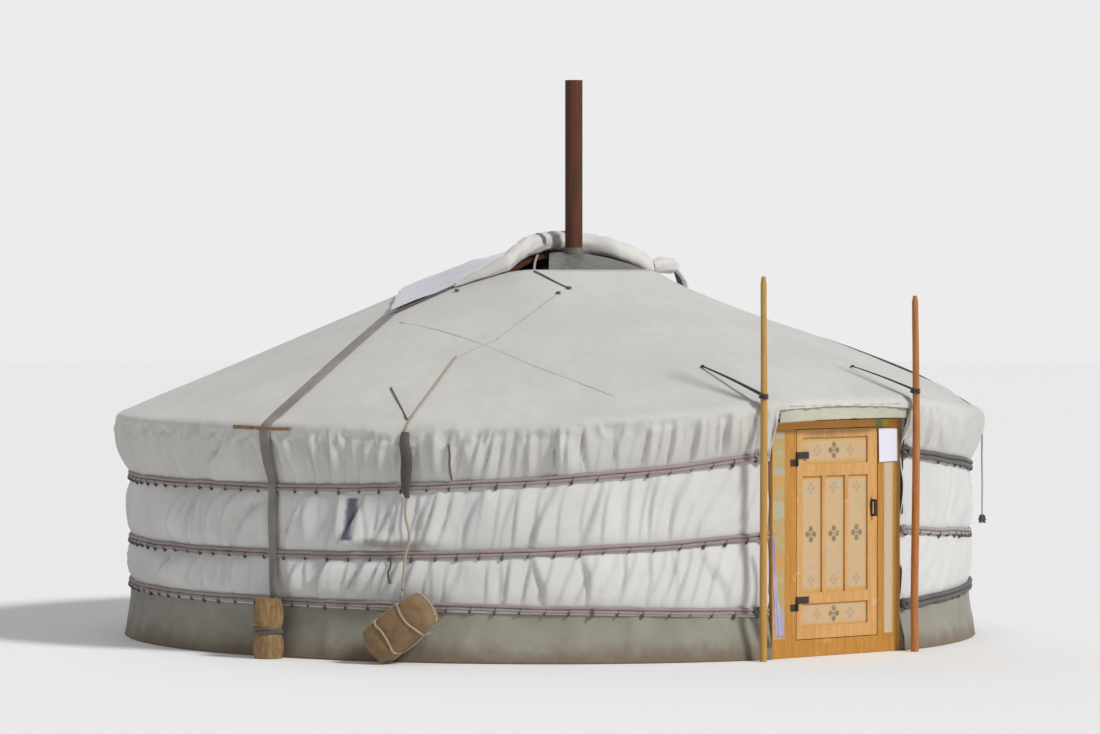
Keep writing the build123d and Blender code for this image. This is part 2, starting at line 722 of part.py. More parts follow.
def tie_stake(angle):
    """Short post, twelve-sided, with a waist for the rope."""
    place = polar(FEET_OUTSIDE + LIE + STAKE_RADIUS, angle, 0)
    waist = STAKE_HEIGHT * 0.45
    levels = [(0, 0.9), (waist - 60, 1), (waist, 0.84), (waist + 70, 0.96), (STAKE_HEIGHT, 0.8)]
    sections = []
    for z, share in levels:
        radius = STAKE_RADIUS * share
        turns = [radians(30 * side) for side in range(12)]
        sections.append([place + Vector(radius * cos(turn), radius * sin(turn), z) for turn in turns])
    return joined(sections)


def eave_stick(angle):
    """Stick that the flat rope turns over at the eave."""
    radius = EAVE_RADIUS + CANVAS + STRAP_THICKNESS + STICK_RADIUS + 2 * LIE
    half = STICK_LENGTH / 2
    return rod(polar(radius, angle, EAVE_HEIGHT, -half), polar(radius, angle, EAVE_HEIGHT, half), STICK_RADIUS)


def ballast_bundle():
    """Tilted bundle that hangs on the ballast rope and rests on the ground."""
    tilt = radians(BALLAST_TILT)
    middle = FEET_OUTSIDE + LIE + BALLAST_DEPTH / 2
    rough = Box(BALLAST_LENGTH, BALLAST_DEPTH, BALLAST_HEIGHT)
    block = chamfer(rough.edges(), BALLAST_CHAMFER)
    cut = BALLAST_CHAMFER
    reach = max(
        (BALLAST_LENGTH / 2 - cut) * sin(tilt) + BALLAST_HEIGHT / 2 * cos(tilt),
        BALLAST_LENGTH / 2 * sin(tilt) + (BALLAST_HEIGHT / 2 - cut) * cos(tilt),
    )
    place = polar(middle, BALLAST_ANGLE, reach)
    return Pos(place.X, place.Y, place.Z) * Rot(0, 0, BALLAST_ANGLE) * Rot(0, -BALLAST_TILT, 0) * block


def ballast_rope():
    """Rope from the roof, over the eave and straight down to the bundle."""
    middle = FEET_OUTSIDE + LIE + BALLAST_DEPTH / 2
    tilt = radians(BALLAST_TILT)
    reach = (BALLAST_LENGTH / 2 - BALLAST_CHAMFER) * sin(tilt) + BALLAST_HEIGHT / 2 * cos(tilt)
    end = reach + BALLAST_HEIGHT / 2 / cos(tilt) + BALLAST_ROPE / 2 * tan(tilt) + 2 * LIE
    lie = 4 * LIE
    angle = BALLAST_ANGLE
    lift = EAVE_LIFT * door_rise(angle, EAVE_LIFT_REACH)
    inner = [
        (BALLAST_ROPE_TOP_RADIUS, roof_surface(BALLAST_ROPE_TOP_RADIUS, angle) + lie),
        (SHOULDER, canvas_top(SHOULDER) + lift + lie),
        (EAVE_RADIUS - 14 + lie, EAVE_HEIGHT + 24 + CANVAS + lift + lie),
        (EAVE_RADIUS + CANVAS + lie, EAVE_HEIGHT + lift),
        (middle - BALLAST_ROPE / 2, end),
    ]
    outer = [(radius + BALLAST_ROPE, z) for radius, z in inner[3:]]
    above = [(radius, z + BALLAST_ROPE) for radius, z in inner[:2]]
    over = (inner[2][0] + BALLAST_ROPE * 0.7, inner[2][1] + BALLAST_ROPE * 0.9)
    points = inner + outer[::-1] + [over] + above[::-1]
    return upright_strip(points, angle, BALLAST_ROPE, lambda radius: skin(radius, angle))


def free_strap_points():
    """Route of the loose strap that hangs from the eave, by hand."""
    steps = [(0, 10, 0), (3, -140, 4), (-1, -310, -4), (5, -480, 3), (1, -630, -6), (3, -755, -2)]
    eave = skin(EAVE_RADIUS + CANVAS, FREE_STRAP_ANGLE) + FREE_STRAP_THICKNESS / 2 + 3 * LIE
    level = EAVE_HEIGHT + EAVE_LIFT * door_rise(FREE_STRAP_ANGLE, EAVE_LIFT_REACH)
    return [polar(eave + out, FREE_STRAP_ANGLE, level + up, aside) for out, up, aside in steps]


def hanging_strap():
    """Flat strap along runs and arcs, with its width along the wall."""
    points = free_strap_points()
    radii = []
    for before, here, after in zip(points, points[1:], points[2:]):
        shorter = min((here - before).length, (after - here).length)
        turn = (here - before).get_angle(after - here)
        radii.append(0.45 * shorter / tan(radians(turn) / 2))
    print("strap radii", [round(radius) for radius in radii])
    route = FilletPolyline(*points, radius=radii)
    along = Vector(cos(radians(FREE_STRAP_ANGLE)), sin(radians(FREE_STRAP_ANGLE)), 0)
    section = Plane(origin=route @ 0, x_dir=along, z_dir=route % 0) * Rectangle(
        FREE_STRAP_WIDTH, FREE_STRAP_THICKNESS
    )
    return sweep(section, path=route)


def pole_places():
    """Where the door poles stand, with the radius and height of each."""
    places = []
    for angle, radius, height in [
        (LEFT_POLE_ANGLE, LEFT_POLE_RADIUS, LEFT_POLE_HEIGHT),
        (RIGHT_POLE_ANGLE, RIGHT_POLE_RADIUS, RIGHT_POLE_HEIGHT),
    ]:
        place = polar(EAVE_RADIUS + CANVAS + POLE_FROM_EAVE + radius, angle, 0)
        places.append((place.X, place.Y, radius, height))
    return places


def door_poles():
    poles = []
    for x, y, radius, top in pole_places():
        poles.append(faceted(radius, 0, top, x, y))
    return Compound(children=poles)


def pole_straps():
    """Short ropes that hold the door poles, each from a knot on a ridge of the roof."""
    straps = []
    starts = [(LEFT_POLE_ROPE_START, -DOOR_HALF), (RIGHT_POLE_ROPE_START, RIGHT_POLE_ROPE_ANGLE)]
    for (x, y, radius, top), (start, turn) in zip(pole_places(), starts):
        angle = degrees(atan2(x, -y))
        loop = radius + LIE + POLE_ROPE
        level = roof_surface(ROOF_FELT_RADIUS, angle) + 3 * POLE_ROPE
        ring_round = faceted(loop, level - POLE_ROPE, level + POLE_ROPE, x, y)
        hole = faceted(radius + LIE, level - 2 * POLE_ROPE, level + 2 * POLE_ROPE, x, y)
        far = polar(start, turn, roof_surface(start, turn) + POLE_ROPE)
        knot = []
        for along in (start - POLE_ROPE, start + POLE_ROPE):
            foot = roof_surface(along, turn) + POLE_KNOT_LIE
            corners = [(-POLE_ROPE / 2, foot), (POLE_ROPE / 2, foot)]
            corners += [(POLE_ROPE / 2, foot + 1.5 * POLE_ROPE), (-POLE_ROPE / 2, foot + 1.5 * POLE_ROPE)]
            knot.append([polar(along, turn, z, aside) for aside, z in corners])
        near = Vector(x, y, level)
        across = (near - far).cross(Vector(0, 0, 1)).normalized() * (POLE_ROPE / 2)
        up = Vector(0, 0, POLE_ROPE / 2)
        ends = [[end - across - up, end + across - up, end + across + up, end - across + up] for end in (far, near)]
        straps.append(joined(ends).fuse(ring_round, joined(knot)).cut(hole))
    return Compound(children=straps)


def jamb(low, high, board_low, board_high):
    post = box((low, -FRAME_FRONT, SILL_HEIGHT), (high, FRAME_DEPTH - FRAME_FRONT, LINTEL_FOOT))
    recess = box(
        (board_low, -FRAME_FRONT - 1, SILL_HEIGHT + BOARD_END),
        (board_high, JAMB_BOARD - FRAME_FRONT, LINTEL_FOOT - BOARD_END),
    )
    return post.cut(recess)


def jamb_board(low, high):
    return box(
        (low + LIE, -FRAME_FRONT, SILL_HEIGHT + BOARD_END + LIE),
        (high - LIE, JAMB_BOARD - FRAME_FRONT - LIE, LINTEL_FOOT - BOARD_END - LIE),
    )


LEFT_BOARD = (-FRAME_WIDTH / 2 + LEFT_BOARD_INSET, -FRAME_WIDTH / 2 + LEFT_BOARD_INSET + LEFT_BOARD_WIDTH)
RIGHT_BOARD = (FRAME_WIDTH / 2 - RIGHT_BOARD_INSET - RIGHT_BOARD_WIDTH, FRAME_WIDTH / 2 - RIGHT_BOARD_INSET)


def panel_openings():
    """Corners of the door's five panels: low x, low z, high x and high z."""
    left = LEAF_LEFT + LEFT_STILE
    right = LEAF_RIGHT - RIGHT_STILE
    bottom = (left, LEAF_FOOT + BOTTOM_RAIL, right, LEAF_FOOT + BOTTOM_RAIL + BOTTOM_PANEL)
    top = (left, LEAF_TOP - TOP_RAIL - TOP_PANEL, right, LEAF_TOP - TOP_RAIL)
    width = (right - left - 2 * MULLION) / 3
    middles = []
    for place in range(3):
        low = left + place * (width + MULLION)
        middles.append((low, bottom[3] + LOWER_RAIL, low + width, top[1] - UPPER_RAIL))
    return [bottom, *middles, top]


def panel(opening, front, back, grow):
    low_x, low_z, high_x, high_z = opening
    return box((low_x - grow, front, low_z - grow), (high_x + grow, back, high_z + grow))


def door_leaf():
    """Stiles, rails and mullions, grooved for the panels."""
    leaf = box((LEAF_LEFT, -FRAME_FRONT, LEAF_FOOT), (LEAF_RIGHT, LEAF_THICKNESS - FRAME_FRONT, LEAF_TOP))
    middle = LEAF_THICKNESS / 2 - FRAME_FRONT
    cuts = []
    for opening in panel_openings():
        cuts.append(panel(opening, -FRAME_FRONT - 1, LEAF_THICKNESS - FRAME_FRONT + 1, 0))
        cuts.append(panel(opening, middle - PANEL_THICKNESS / 2, middle + PANEL_THICKNESS / 2, GROOVE))
    return leaf.cut(*cuts)


def door_panels():
    middle = LEAF_THICKNESS / 2 - FRAME_FRONT
    half = PANEL_THICKNESS / 2 - LIE
    panels = [panel(opening, middle - half, middle + half, GROOVE - LIE) for opening in panel_openings()]
    return Compound(children=panels)


def door_handle():
    x = LEAF_RIGHT - HANDLE_FROM_EDGE
    low = HANDLE_LEVEL - HANDLE_HEIGHT / 2
    high = HANDLE_LEVEL + HANDLE_HEIGHT / 2
    front = -FRAME_FRONT - HANDLE_REACH
    half = HANDLE_BAR / 2
    bar = box((x - half, front, low), (x + half, front + HANDLE_BAR, high))
    lower = box((x - half, front, low), (x + half, -FRAME_FRONT, low + HANDLE_BAR))
    upper = box((x - half, front, high - HANDLE_BAR), (x + half, -FRAME_FRONT, high))
    return bar.fuse(lower, upper)


def hinge_post(level):
    """Fixed half: a plate on the jamb, a knuckle and the pin."""
    knuckle = upright(KNUCKLE_RADIUS, level, level + KNUCKLE_HEIGHT, HINGE_X, HINGE_Y)
    pin = upright(PIN_RADIUS, level, level + 2 * KNUCKLE_HEIGHT, HINGE_X, HINGE_Y)
    plate = box(
        (HINGE_X - HINGE_PLATE_LENGTH, -FRAME_FRONT - HINGE_PLATE, level),
        (HINGE_X - HINGE_GAP / 2, -FRAME_FRONT, level + KNUCKLE_HEIGHT),
    )
    return knuckle.fuse(pin, plate)


def hinge_strap(level):
    """Moving half: a sleeve over the pin and a plate on the leaf."""
    low = level + KNUCKLE_HEIGHT + KNUCKLE_GAP
    high = low + KNUCKLE_HEIGHT
    sleeve = upright(KNUCKLE_RADIUS, low, high, HINGE_X, HINGE_Y)
    plate = box(
        (HINGE_X + HINGE_GAP / 2, -FRAME_FRONT - HINGE_PLATE, low),
        (HINGE_X + 2 * HINGE_PLATE_LENGTH, -FRAME_FRONT, high),
    )
    bore = upright(PIN_RADIUS + PIN_CLEARANCE, low - 1, high + 1, HINGE_X, HINGE_Y)
    return sleeve.fuse(plate).cut(bore)


def cover_stops():
    """Radii and heights that the crown cover lies on: hub, spokes, rim and then roof."""
    edge = CROWN_RADIUS + CROWN_RIM_WIDTH
    stops = [(0, HUB_TOP), (HUB_RADIUS, HUB_TOP)]
    for share in (0.58, 0.8, 1):
        radius = CROWN_RADIUS * share - LIE
        stops.append((radius, spoke_top(radius) + COVER_OFF_SPOKES))
    return stops + [(edge, canvas_top(edge)), (2 * COVER_CORNER, canvas_top(2 * COVER_CORNER))]


def cover_line(radius):
    """Height of the line through the stops, at any radius."""
    stops = cover_stops()
    for (low, low_z), (high, high_z) in zip(stops, stops[1:]):
        if radius <= high:
            break
    return low_z + (high_z - low_z) * (radius - low) / (high - low)


def roll_place(x):
    """How far back the middle of the roll lies, which runs forwards to the left."""
    return ROLL_MIDDLE + ROLL_LEFT_FORWARD * min(0, x) / -ROLL_LEFT_END


def crown_cover():
    """Cloth over the back of the crown, a three-cornered piece that follows spokes and roof."""
    behind = ROLL_RADIUS + 8
    radii = [radius for radius, z in cover_stops()[1:-1]] + [COVER_CORNER + CROWN_RIM_WIDTH]
    inner = [(radius, cover_line(radius) + 2 * LIE) for radius in [behind / 3] + radii]
    outer = [(radius, z + COVER_THICKNESS) for radius, z in inner]
    dome = ring(lambda angle: inner + outer[::-1], POLE_ANGLES, closed=True)
    left = polar(COVER_LEFT_CORNER, STRAP_CORNER_ANGLE, 0)
    corners = [
        (left.X, left.Y),
        (COVER_LEFT_EDGE, -COVER_LEFT_EDGE_FORWARD),
        (ROLL_LEFT_END, roll_place(ROLL_LEFT_END) + behind),
        (0, roll_place(0) + behind),
        (COVER_RIGHT_CORNER, roll_place(0) + behind),
        (0, COVER_CORNER),
    ]
    footprint = extrude(make_face(Polyline(*corners, close=True)), HUB_TOP * 2)
    return dome & footprint


def crown_cover_roll():
    """Thick rolled fold that arches over the crown, whose tied right end stands off the roof."""
    stops = [
        (ROLL_LEFT_END, 0.7, 7),
        (ROLL_LEFT_END * 0.8, 0.84, 8),
        (ROLL_LEFT_END * 0.55, 0.92, 7),
        (-HUB_RADIUS, 0.85, 3.5),
        (HUB_RADIUS, 0.88, 0.5),
        (CROWN_RADIUS * 0.58, 1.08, 0),
        (CROWN_RADIUS * 0.8, 1.12, 0),
        (CROWN_RADIUS, 1.1, 5),
        (CROWN_RADIUS + CROWN_RIM_WIDTH, 1.05, 20),
        (ROLL_RIGHT_END - 265, 0.62, 80),
        (ROLL_RIGHT_END - 160, 0.75, 130),
        (ROLL_RIGHT_END - 60, 0.72, 170),
        (ROLL_RIGHT_END, 0.3, 225),
    ]
    sections = []
    for x, share, above in stops:
        radius = ROLL_RADIUS * share
        y = roll_place(x)
        z = cover_line(hypot(x, y)) + above + radius * cos(radians(22.5)) + 2 * LIE
        turns = [radians(45 * corner + 22.5) for corner in range(8)]
        sections.append([Vector(x, y + radius * cos(turn), z + radius * sin(turn)) for turn in turns])
    return joined(sections)


def lintel():
    """Head of the door frame, notched at both ends for the poles beside the door."""
    half = FRAME_WIDTH / 2
    beam = box((-half, -FRAME_FRONT, LINTEL_FOOT), (half, FRAME_DEPTH - FRAME_FRONT, LINTEL_TOP))
    behind = LATTICE_RADIUS - 3 * FRAME_DEPTH
    end = LATTICE_RADIUS + POLE_OVERHANG + LIE
    return beam.cut(*[pole(side * DOOR_HALF, behind, end, LIE) for side in (-1, 1)])


def lintel_cloth():
    """Cloth that hangs from the eave over the door, with an arched lower edge."""
    outer = EAVE_RADIUS - CANVAS - LIE
    top = EAVE_HEIGHT + EAVE_LIFT - EAVE_LIP / 2 - 2 * LIE
    half = DOOR_HALF - HEAD_CLOTH_END

    def outline(angle):
        low = LINTEL_TOP + HEAD_CLOTH_ARCH * (1 - (angle / half) ** 2)
        return [(outer - HEAD_CLOTH, low), (outer, low), (outer, top), (outer - HEAD_CLOTH, top)]

    return ring(outline, [-half, -DOOR_HALF / 2, 0, DOOR_HALF / 2, half])


def main():
    os.makedirs("parts", exist_ok=True)
    first = lattice_section(DOOR_HALF)
    for section in range(SECTIONS):
        turned_section = Rot(0, 0, section * SLATS_A_SECTION * PITCH) * first
        export_step(turned_section, f"parts/lattice_wall_{section + 1}.step")
    sides = {"right": (0, THIRD), "rear": (THIRD, 2 * THIRD), "left": (2 * THIRD, WALL_FACETS)}
    for side, (start, stop) in sides.items():
        export_step(wall_felt(start, stop), f"parts/wall_felt_{side}.step")
        export_step(skirt(start, stop), f"parts/skirt_{side}.step")
        angles = WALL_ANGLES[start : stop + 1]
        if side == "right":
            angles = [0, DOOR_HALF / 2] + angles
        if side == "left":
            angles = angles + [360 - DOOR_HALF / 2, 360]
        export_step(roof_felt(angles), f"parts/roof_felt_{side}.step")
    export_step(wall_canvas(), "parts/wall_canvas.step")
    export_step(roof_canvas(), "parts/roof_canvas.step")
    export_step(roof_poles(), "parts/roof_poles.step")
    export_step(crown_ring(), "parts/crown_ring.step")
    export_step(crown_spokes(), "parts/crown_spokes.step")
    export_step(crown_posts(), "parts/crown_posts.step")
    export_step(flue_plate(), "parts/flue_plate.step")
    export_step(flue_pipe(), "parts/flue_pipe.step")
    export_step(Compound(children=[crown_cover(), crown_cover_roll()]), "parts/crown_cover.step")
    export_step(girth_rope(upper_rope, VALANCE_OUTSIDE + LIE), "parts/girth_rope_upper.step")
    export_step(girth_rope(middle_rope, WALL_OUTSIDE + LIE), "parts/girth_rope_middle.step")
    export_step(girth_rope(lower_rope, WALL_OUTSIDE + LIE), "parts/girth_rope_lower.step")
    tie_ropes = [left_tie_rope(), right_tie_rope(), rear_tie_rope()]
    export_step(Compound(children=tie_ropes), "parts/tie_ropes.step")
    export_step(tie_stake(STAKE_ANGLE), "parts/tie_stake.step")
    export_step(eave_stick(STRAP_ANGLE), "parts/eave_stick.step")
    export_step(ballast_bundle(), "parts/ballast_bundle.step")
    export_step(ballast_rope(), "parts/ballast_rope.step")
    export_step(hanging_strap(), "parts/hanging_strap.step")
    export_step(door_poles(), "parts/door_poles.step")
    export_step(pole_straps(), "parts/pole_straps.step")
    half = FRAME_WIDTH / 2
    export_step(jamb(-half, LEFT_JAMB - half, *LEFT_BOARD), "parts/door_jamb_left.step")
    export_step(jamb(half - RIGHT_JAMB, half, *RIGHT_BOARD), "parts/door_jamb_right.step")
    boards = Compound(children=[jamb_board(*LEFT_BOARD), jamb_board(*RIGHT_BOARD)])
    export_step(boards, "parts/jamb_boards.step")
    back = FRAME_DEPTH - FRAME_FRONT
    export_step(lintel(), "parts/door_lintel.step")
    export_step(box((-half, -FRAME_FRONT, 0), (half, back, SILL_HEIGHT)), "parts/door_threshold.step")
    export_step(lintel_cloth(), "parts/lintel_cloth.step")
    export_step(door_leaf(), "parts/door_leaf.step")
    export_step(door_panels(), "parts/door_panels.step")
    export_step(door_handle(), "parts/door_handle.step")
    export_step(Compound(children=[hinge_post(level) for level in HINGE_LEVELS]), "parts/door_hinge_posts.step")
    export_step(Compound(children=[hinge_strap(level) for level in HINGE_LEVELS]), "parts/door_hinge_straps.step")


main()
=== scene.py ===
"""The felt ger's looks: cloth, ropes, wood and paint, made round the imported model.

The door faces -Y, and +X is to the right of someone who faces it from outside. An angle is in degrees,
counted from the door towards +X, so a place is (r sin(angle), -r cos(angle)). A turn is in radians and
a size in metres.
"""

from contextlib import contextmanager
from math import atan2, cos, degrees, exp, floor, hypot, pi, radians, sin, tan

import bmesh
import bpy
from mathutils import Matrix, Vector, noise


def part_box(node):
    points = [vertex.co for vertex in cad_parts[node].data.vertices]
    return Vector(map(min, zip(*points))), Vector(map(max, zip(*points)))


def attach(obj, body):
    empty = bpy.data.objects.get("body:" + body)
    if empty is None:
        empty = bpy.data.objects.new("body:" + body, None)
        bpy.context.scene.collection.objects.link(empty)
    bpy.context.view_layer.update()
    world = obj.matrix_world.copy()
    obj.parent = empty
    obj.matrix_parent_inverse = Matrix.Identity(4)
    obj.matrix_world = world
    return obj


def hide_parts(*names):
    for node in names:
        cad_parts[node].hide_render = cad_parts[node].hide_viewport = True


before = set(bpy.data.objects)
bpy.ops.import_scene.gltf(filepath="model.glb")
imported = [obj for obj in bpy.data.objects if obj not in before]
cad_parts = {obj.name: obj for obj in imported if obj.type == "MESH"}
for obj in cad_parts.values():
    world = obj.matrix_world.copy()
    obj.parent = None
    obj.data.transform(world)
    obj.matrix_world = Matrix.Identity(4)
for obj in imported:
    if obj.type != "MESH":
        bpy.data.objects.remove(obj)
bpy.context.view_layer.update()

# Sizes repeated from the part's source
FELT_OUTSIDE = 2.8843
WALL_OUTSIDE = 2.8886
VALANCE_OUTSIDE = 2.8929
ROPE_OUTSIDE = 2.9052
FEET_OUTSIDE = 2.9406
LATTICE = 2.850
EAVE = 2.992
EAVE_Z = 1.4873
SHOULDER = 2.926
SLOPE = tan(radians(23))
DOOR_HALF = 11.85
PITCH = 7.4733
STRAP_ANGLE = -79.11
STAKE_ANGLE = -77.81
BALLAST_ANGLE = -59.0
FREE_STRAP_ANGLE = 50.0

# Sizes of the cloth and the ropes
CROWN_EDGE = 0.703
TURN_START = SHOULDER - 0.02
CLOTH_EAVE = EAVE + 0.004
HEM_BELOW_ROPE = 0.04
THIRD = 15
THIRDS = {"right": 0, "rear": THIRD, "left": 2 * THIRD}
GIRTH_REACH = 0.0125
LOG_RADIUS = 0.1
LOG_HEIGHT = 0.39
BUNDLE_TILT = 37
REAR_STRAP_ANGLE = 183.7
RIGHT_ROPE_ANGLE = 49.2
ROOF_STEPS = [0.0, 0.02, 0.06, 0.12, 0.2, 0.3, 0.4, 0.5, 0.6, 0.68, 0.75, 0.81, 0.86, 0.9, 0.93, 0.96, 0.98, 1.0]
SKIRT_STEPS = [0.0, 0.04, 0.1, 0.2, 0.32, 0.44, 0.55, 0.66, 0.76, 0.85, 0.92, 0.97, 1.0]

# Thin cords on the roof: where each starts and ends, as radius and angle, and its radius
CORDS_ON_ROOF = {
    "knot_rope": [
        ((0.735, -49.5), (0.962, -33.4), 0.006),
        ((2.45, -66.0), (2.90, -59.4), 0.006),
        ((0.90, -85.0), (1.38, -92.5), 0.010),
    ],
    "seam": [
        ((1.481, -83.9), (2.159, -43.7), 0.0025),
        ((2.159, -43.7), (2.687, -31.9), 0.0025),
        ((1.04, -37.9), (1.74, -52.6), 0.003),
        ((1.74, -52.6), (2.02, -59.0), 0.003),
    ],
}
# Knots on the roof: radius, angle and size
KNOTS_ON_ROOF = [(0.962, -33.4, 0.017), (1.04, -37.9, 0.015), (0.99, -80.6, 0.014), (0.91, -85.0, 0.024)]
# Cords on the wall, by radius, angle and height
CORDS_ON_WALL = [
    [(2.995, -53.5, 1.40), (2.985, -53.3, 1.34), (2.955, -53.6, 1.26), (2.925, -53.4, 1.17)],
    [(2.915, -61.6, 0.68), (2.935, -61.2, 0.62), (2.940, -61.9, 0.56), (2.935, -61.4, 0.50)],
    [(2.92, -35.7, 0.350), (2.93, -35.5, 0.33), (2.925, -35.8, 0.30)],
]
# The crown's roll: x, share of its full radius, and millimetres above what it lies on
ROLL_STOPS = [
    (-0.94, 0.16, 3),
    (-0.80, 0.45, 4),
    (-0.64, 0.72, 7),
    (-0.512, 0.84, 8),
    (-0.352, 0.92, 7),
    (-0.11, 0.85, 3.5),
    (0.11, 0.88, 0.5),
    (0.406, 1.08, 0),
    (0.56, 1.12, 0),
    (0.70, 1.1, 5),
    (0.785, 1.05, 20),
    (0.905, 0.62, 80),
    (1.01, 0.75, 130),
    (1.11, 0.72, 170),
    (1.17, 0.3, 225),
]
ROLL_RADIUS = 0.078
ROLL_TIE = 0.905
ROLL_LENGTH = 2.11
# The tall poles beside the door: angle, radius and height
POLES = {"left": (-14.2, 0.025, 2.47), "right": (11.2, 0.027, 2.34)}


def polar(radius, angle, z, aside=0.0):
    turn = radians(angle)
    return Vector((radius * sin(turn) + aside * cos(turn), aside * sin(turn) - radius * cos(turn), z))


def polars(*places):
    return [polar(*place) for place in places]


def values(first, last, count):
    """Even steps from first to last."""
    return [first + (last - first) * step / count for step in range(count + 1)]


def table(outer, inner, point):
    """Rows of points, from a function of an outer and an inner value."""
    return [[point(a, b) for b in inner] for a in outer]


def lengths(points):
    """How far along a line each of its points lies."""
    run = [0.0]
    for before, after in zip(points, points[1:]):
        run.append(run[-1] + (after - before).length)
    return run


def turned(angle):
    """The same angle, from -180 to 180."""
    return (angle + 180) % 360 - 180


def ease(low, high, value):
    """0 below low, 1 above high and a smooth step between."""
    share = min(1.0, max(0.0, (value - low) / (high - low)))
    return share * share * (3 - 2 * share)


def hill(value, middle, width):
    return exp(-(((value - middle) / width) ** 2))


def rough(x, y, z):
    return noise.noise(Vector((x, y, z)))


def door_rise(angle, reach):
    away = max(0.0, abs(turned(angle)) - DOOR_HALF)
    return max(0.0, 1 - away / reach) ** 2


def upper_rope(angle):
    return 1.100 + 0.220 * door_rise(angle, 70)


def middle_rope(angle):
    return 0.670 + 0.130 * door_rise(angle, 70)


def lower_rope(angle):
    return 0.365 - 0.060 * door_rise(angle, 70)


def canvas_top(radius):
    """Height of the roof canvas on its felt, without its lift at the door."""
    return 1.5386 + (SHOULDER - radius) * SLOPE


def eave_lift(angle):
    return 0.150 * door_rise(angle, 55)


def swell(radius, angle):
    """How much the roof cloth bulges right of the door and at the front of the smoke hole."""
    right = 0.07 * hill(turned(angle), 60, 26) * ease(1.15, 2.2, radius) * (1 - ease(2.72, 2.92, radius))
    return right + 0.026 * (1 - ease(CROWN_EDGE, 0.923, radius)) * (1 - ease(50, 75, abs(turned(angle))))


# Camera at the photograph's viewing angle
camera_data = bpy.data.cameras.new("camera")
camera = bpy.data.objects.new("camera", camera_data)
bpy.context.scene.collection.objects.link(camera)
bpy.context.scene.camera = camera
camera.location = polar(36.0, -41.0, 2.62)
camera.rotation_euler = (Vector((0, 0, 1.83)) - camera.location).to_track_quat("-Z", "Y").to_euler()
camera_data.lens = 170.0
camera_data.sensor_width = 36.0
camera_data.clip_end = 400.0


# Shader nodes
def operator(operation, reflected=False):
    """Method that adds a Math node."""

    def method(self, other=0.0):
        first, second = (other, self) if reflected else (self, other)
        return self.finish.node("Math", {"operation": operation}, {0: first, 1: second})

    return method


class Value:
    """A node's output. Arithmetic on it adds Math nodes."""

    def __init__(self, finish, socket):
        self.finish = finish
        self.socket = socket

    __add__, __radd__ = operator("ADD"), operator("ADD", True)
    __sub__, __rsub__ = operator("SUBTRACT"), operator("SUBTRACT", True)
    __mul__, __rmul__ = operator("MULTIPLY"), operator("MULTIPLY", True)
    __pow__, __abs__ = operator("POWER"), operator("ABSOLUTE")
    least, most, wave = operator("MINIMUM"), operator("MAXIMUM"), operator("SINE")

    def above(self, low, high):
        """0 below low, 1 above high and smooth between."""
        sockets = {"Value": self, "From Min": low, "From Max": high}
        return self.finish.node("MapRange", {"interpolation_type": "SMOOTHSTEP"}, sockets)

    def within(self, full, none):
        """1 up to full from zero, on both sides, and 0 beyond none."""
        return 1 - abs(self).above(full, none)

    def between(self, low, high, soft):
        """1 between low and high, with soft edges inside them."""
        return self.above(low, low + soft) * (1 - self.above(high - soft, high))


class Finish:
    """A procedural material with one Principled shader."""

    def __init__(self, name, roughness, **fixed):
        self.material = bpy.data.materials.new(name)
        self.material.use_nodes = True
        self.tree = self.material.node_tree
        self.tree.nodes.clear()
        self.shader = self.tree.nodes.new("ShaderNodeBsdfPrincipled")
        output = self.tree.nodes.new("ShaderNodeOutputMaterial")
        self.tree.links.new(self.shader.outputs[0], output.inputs[0])
        self.shader.inputs["Roughness"].default_value = roughness
        for socket, value in fixed.items():
            self.shader.inputs[socket.replace("_", " ")].default_value = value

    def node(self, kind, settings=None, sockets=None, out=0):
        """Add a node; settings come first, then the values or links of its sockets."""
        made = self.tree.nodes.new("ShaderNode" + kind)
        for name, value in (settings or {}).items():
            setattr(made, name, value)
        for name, value in (sockets or {}).items():
            if isinstance(value, Value):
                self.tree.links.new(value.socket, made.inputs[name])
            elif value is not None:
                made.inputs[name].default_value = value
        return Value(self, made.outputs[out])

    def spot(self, source="Object", scale=(1, 1, 1), move=(0, 0, 0)):
        """Coordinates on the piece, scaled and moved."""
        place = self.node("TexCoord", out=source)
        if scale == (1, 1, 1) and move == (0, 0, 0):
            return place
        return self.node("Mapping", {}, {"Vector": place, "Scale": scale, "Location": move})

    def axes(self, place):
        outputs = self.node("SeparateXYZ", {}, {0: place}).socket.node.outputs
        return [Value(self, output) for output in outputs]

    def clouds(self, place, scale, detail, roughness, distortion=0.0):
        sockets = {"Scale": scale, "Detail": detail, "Roughness": roughness, "Distortion": distortion}
        return self.node("TexNoise", {}, {"Vector": place, **sockets})

    def mix(self, share, first, second):
        """Two colours mixed by share; each is a Value or a screen colour."""
        made = self.node("Mix", {"data_type": "RGBA"}, {"Factor": share}).socket.node
        for place, colour in ((6, first), (7, second)):
            if isinstance(colour, Value):
                self.tree.links.new(colour.socket, made.inputs[place])
            else:
                made.inputs[place].default_value = (*linear(*colour), 1.0)
        return Value(self, made.outputs[2])

    def feed(self, socket, value):
        self.tree.links.new(value.socket, self.shader.inputs[socket])

    def colour(self):
        """What feeds the base colour now."""
        return Value(self, self.shader.inputs["Base Color"].links[0].from_socket)

    def bump(self, height, distance, strength, normal=None):
        sockets = {"Height": height, "Distance": distance, "Strength": strength, "Normal": normal}
        return self.node("Bump", {}, sockets)

    def cover(self, colour, *bump):
        """Feed the base colour and the bumps."""
        self.feed("Base Color", colour)
        self.feed("Normal", self.bump(*bump))
        return self


def linear(red, green, blue):
    """A screen colour of 0 to 255 as the shader's numbers."""
    shares = [part / 255 for part in (red, green, blue)]
    return tuple(s / 12.92 if s < 0.04045 else ((s + 0.055) / 1.055) ** 2.4 for s in shares)


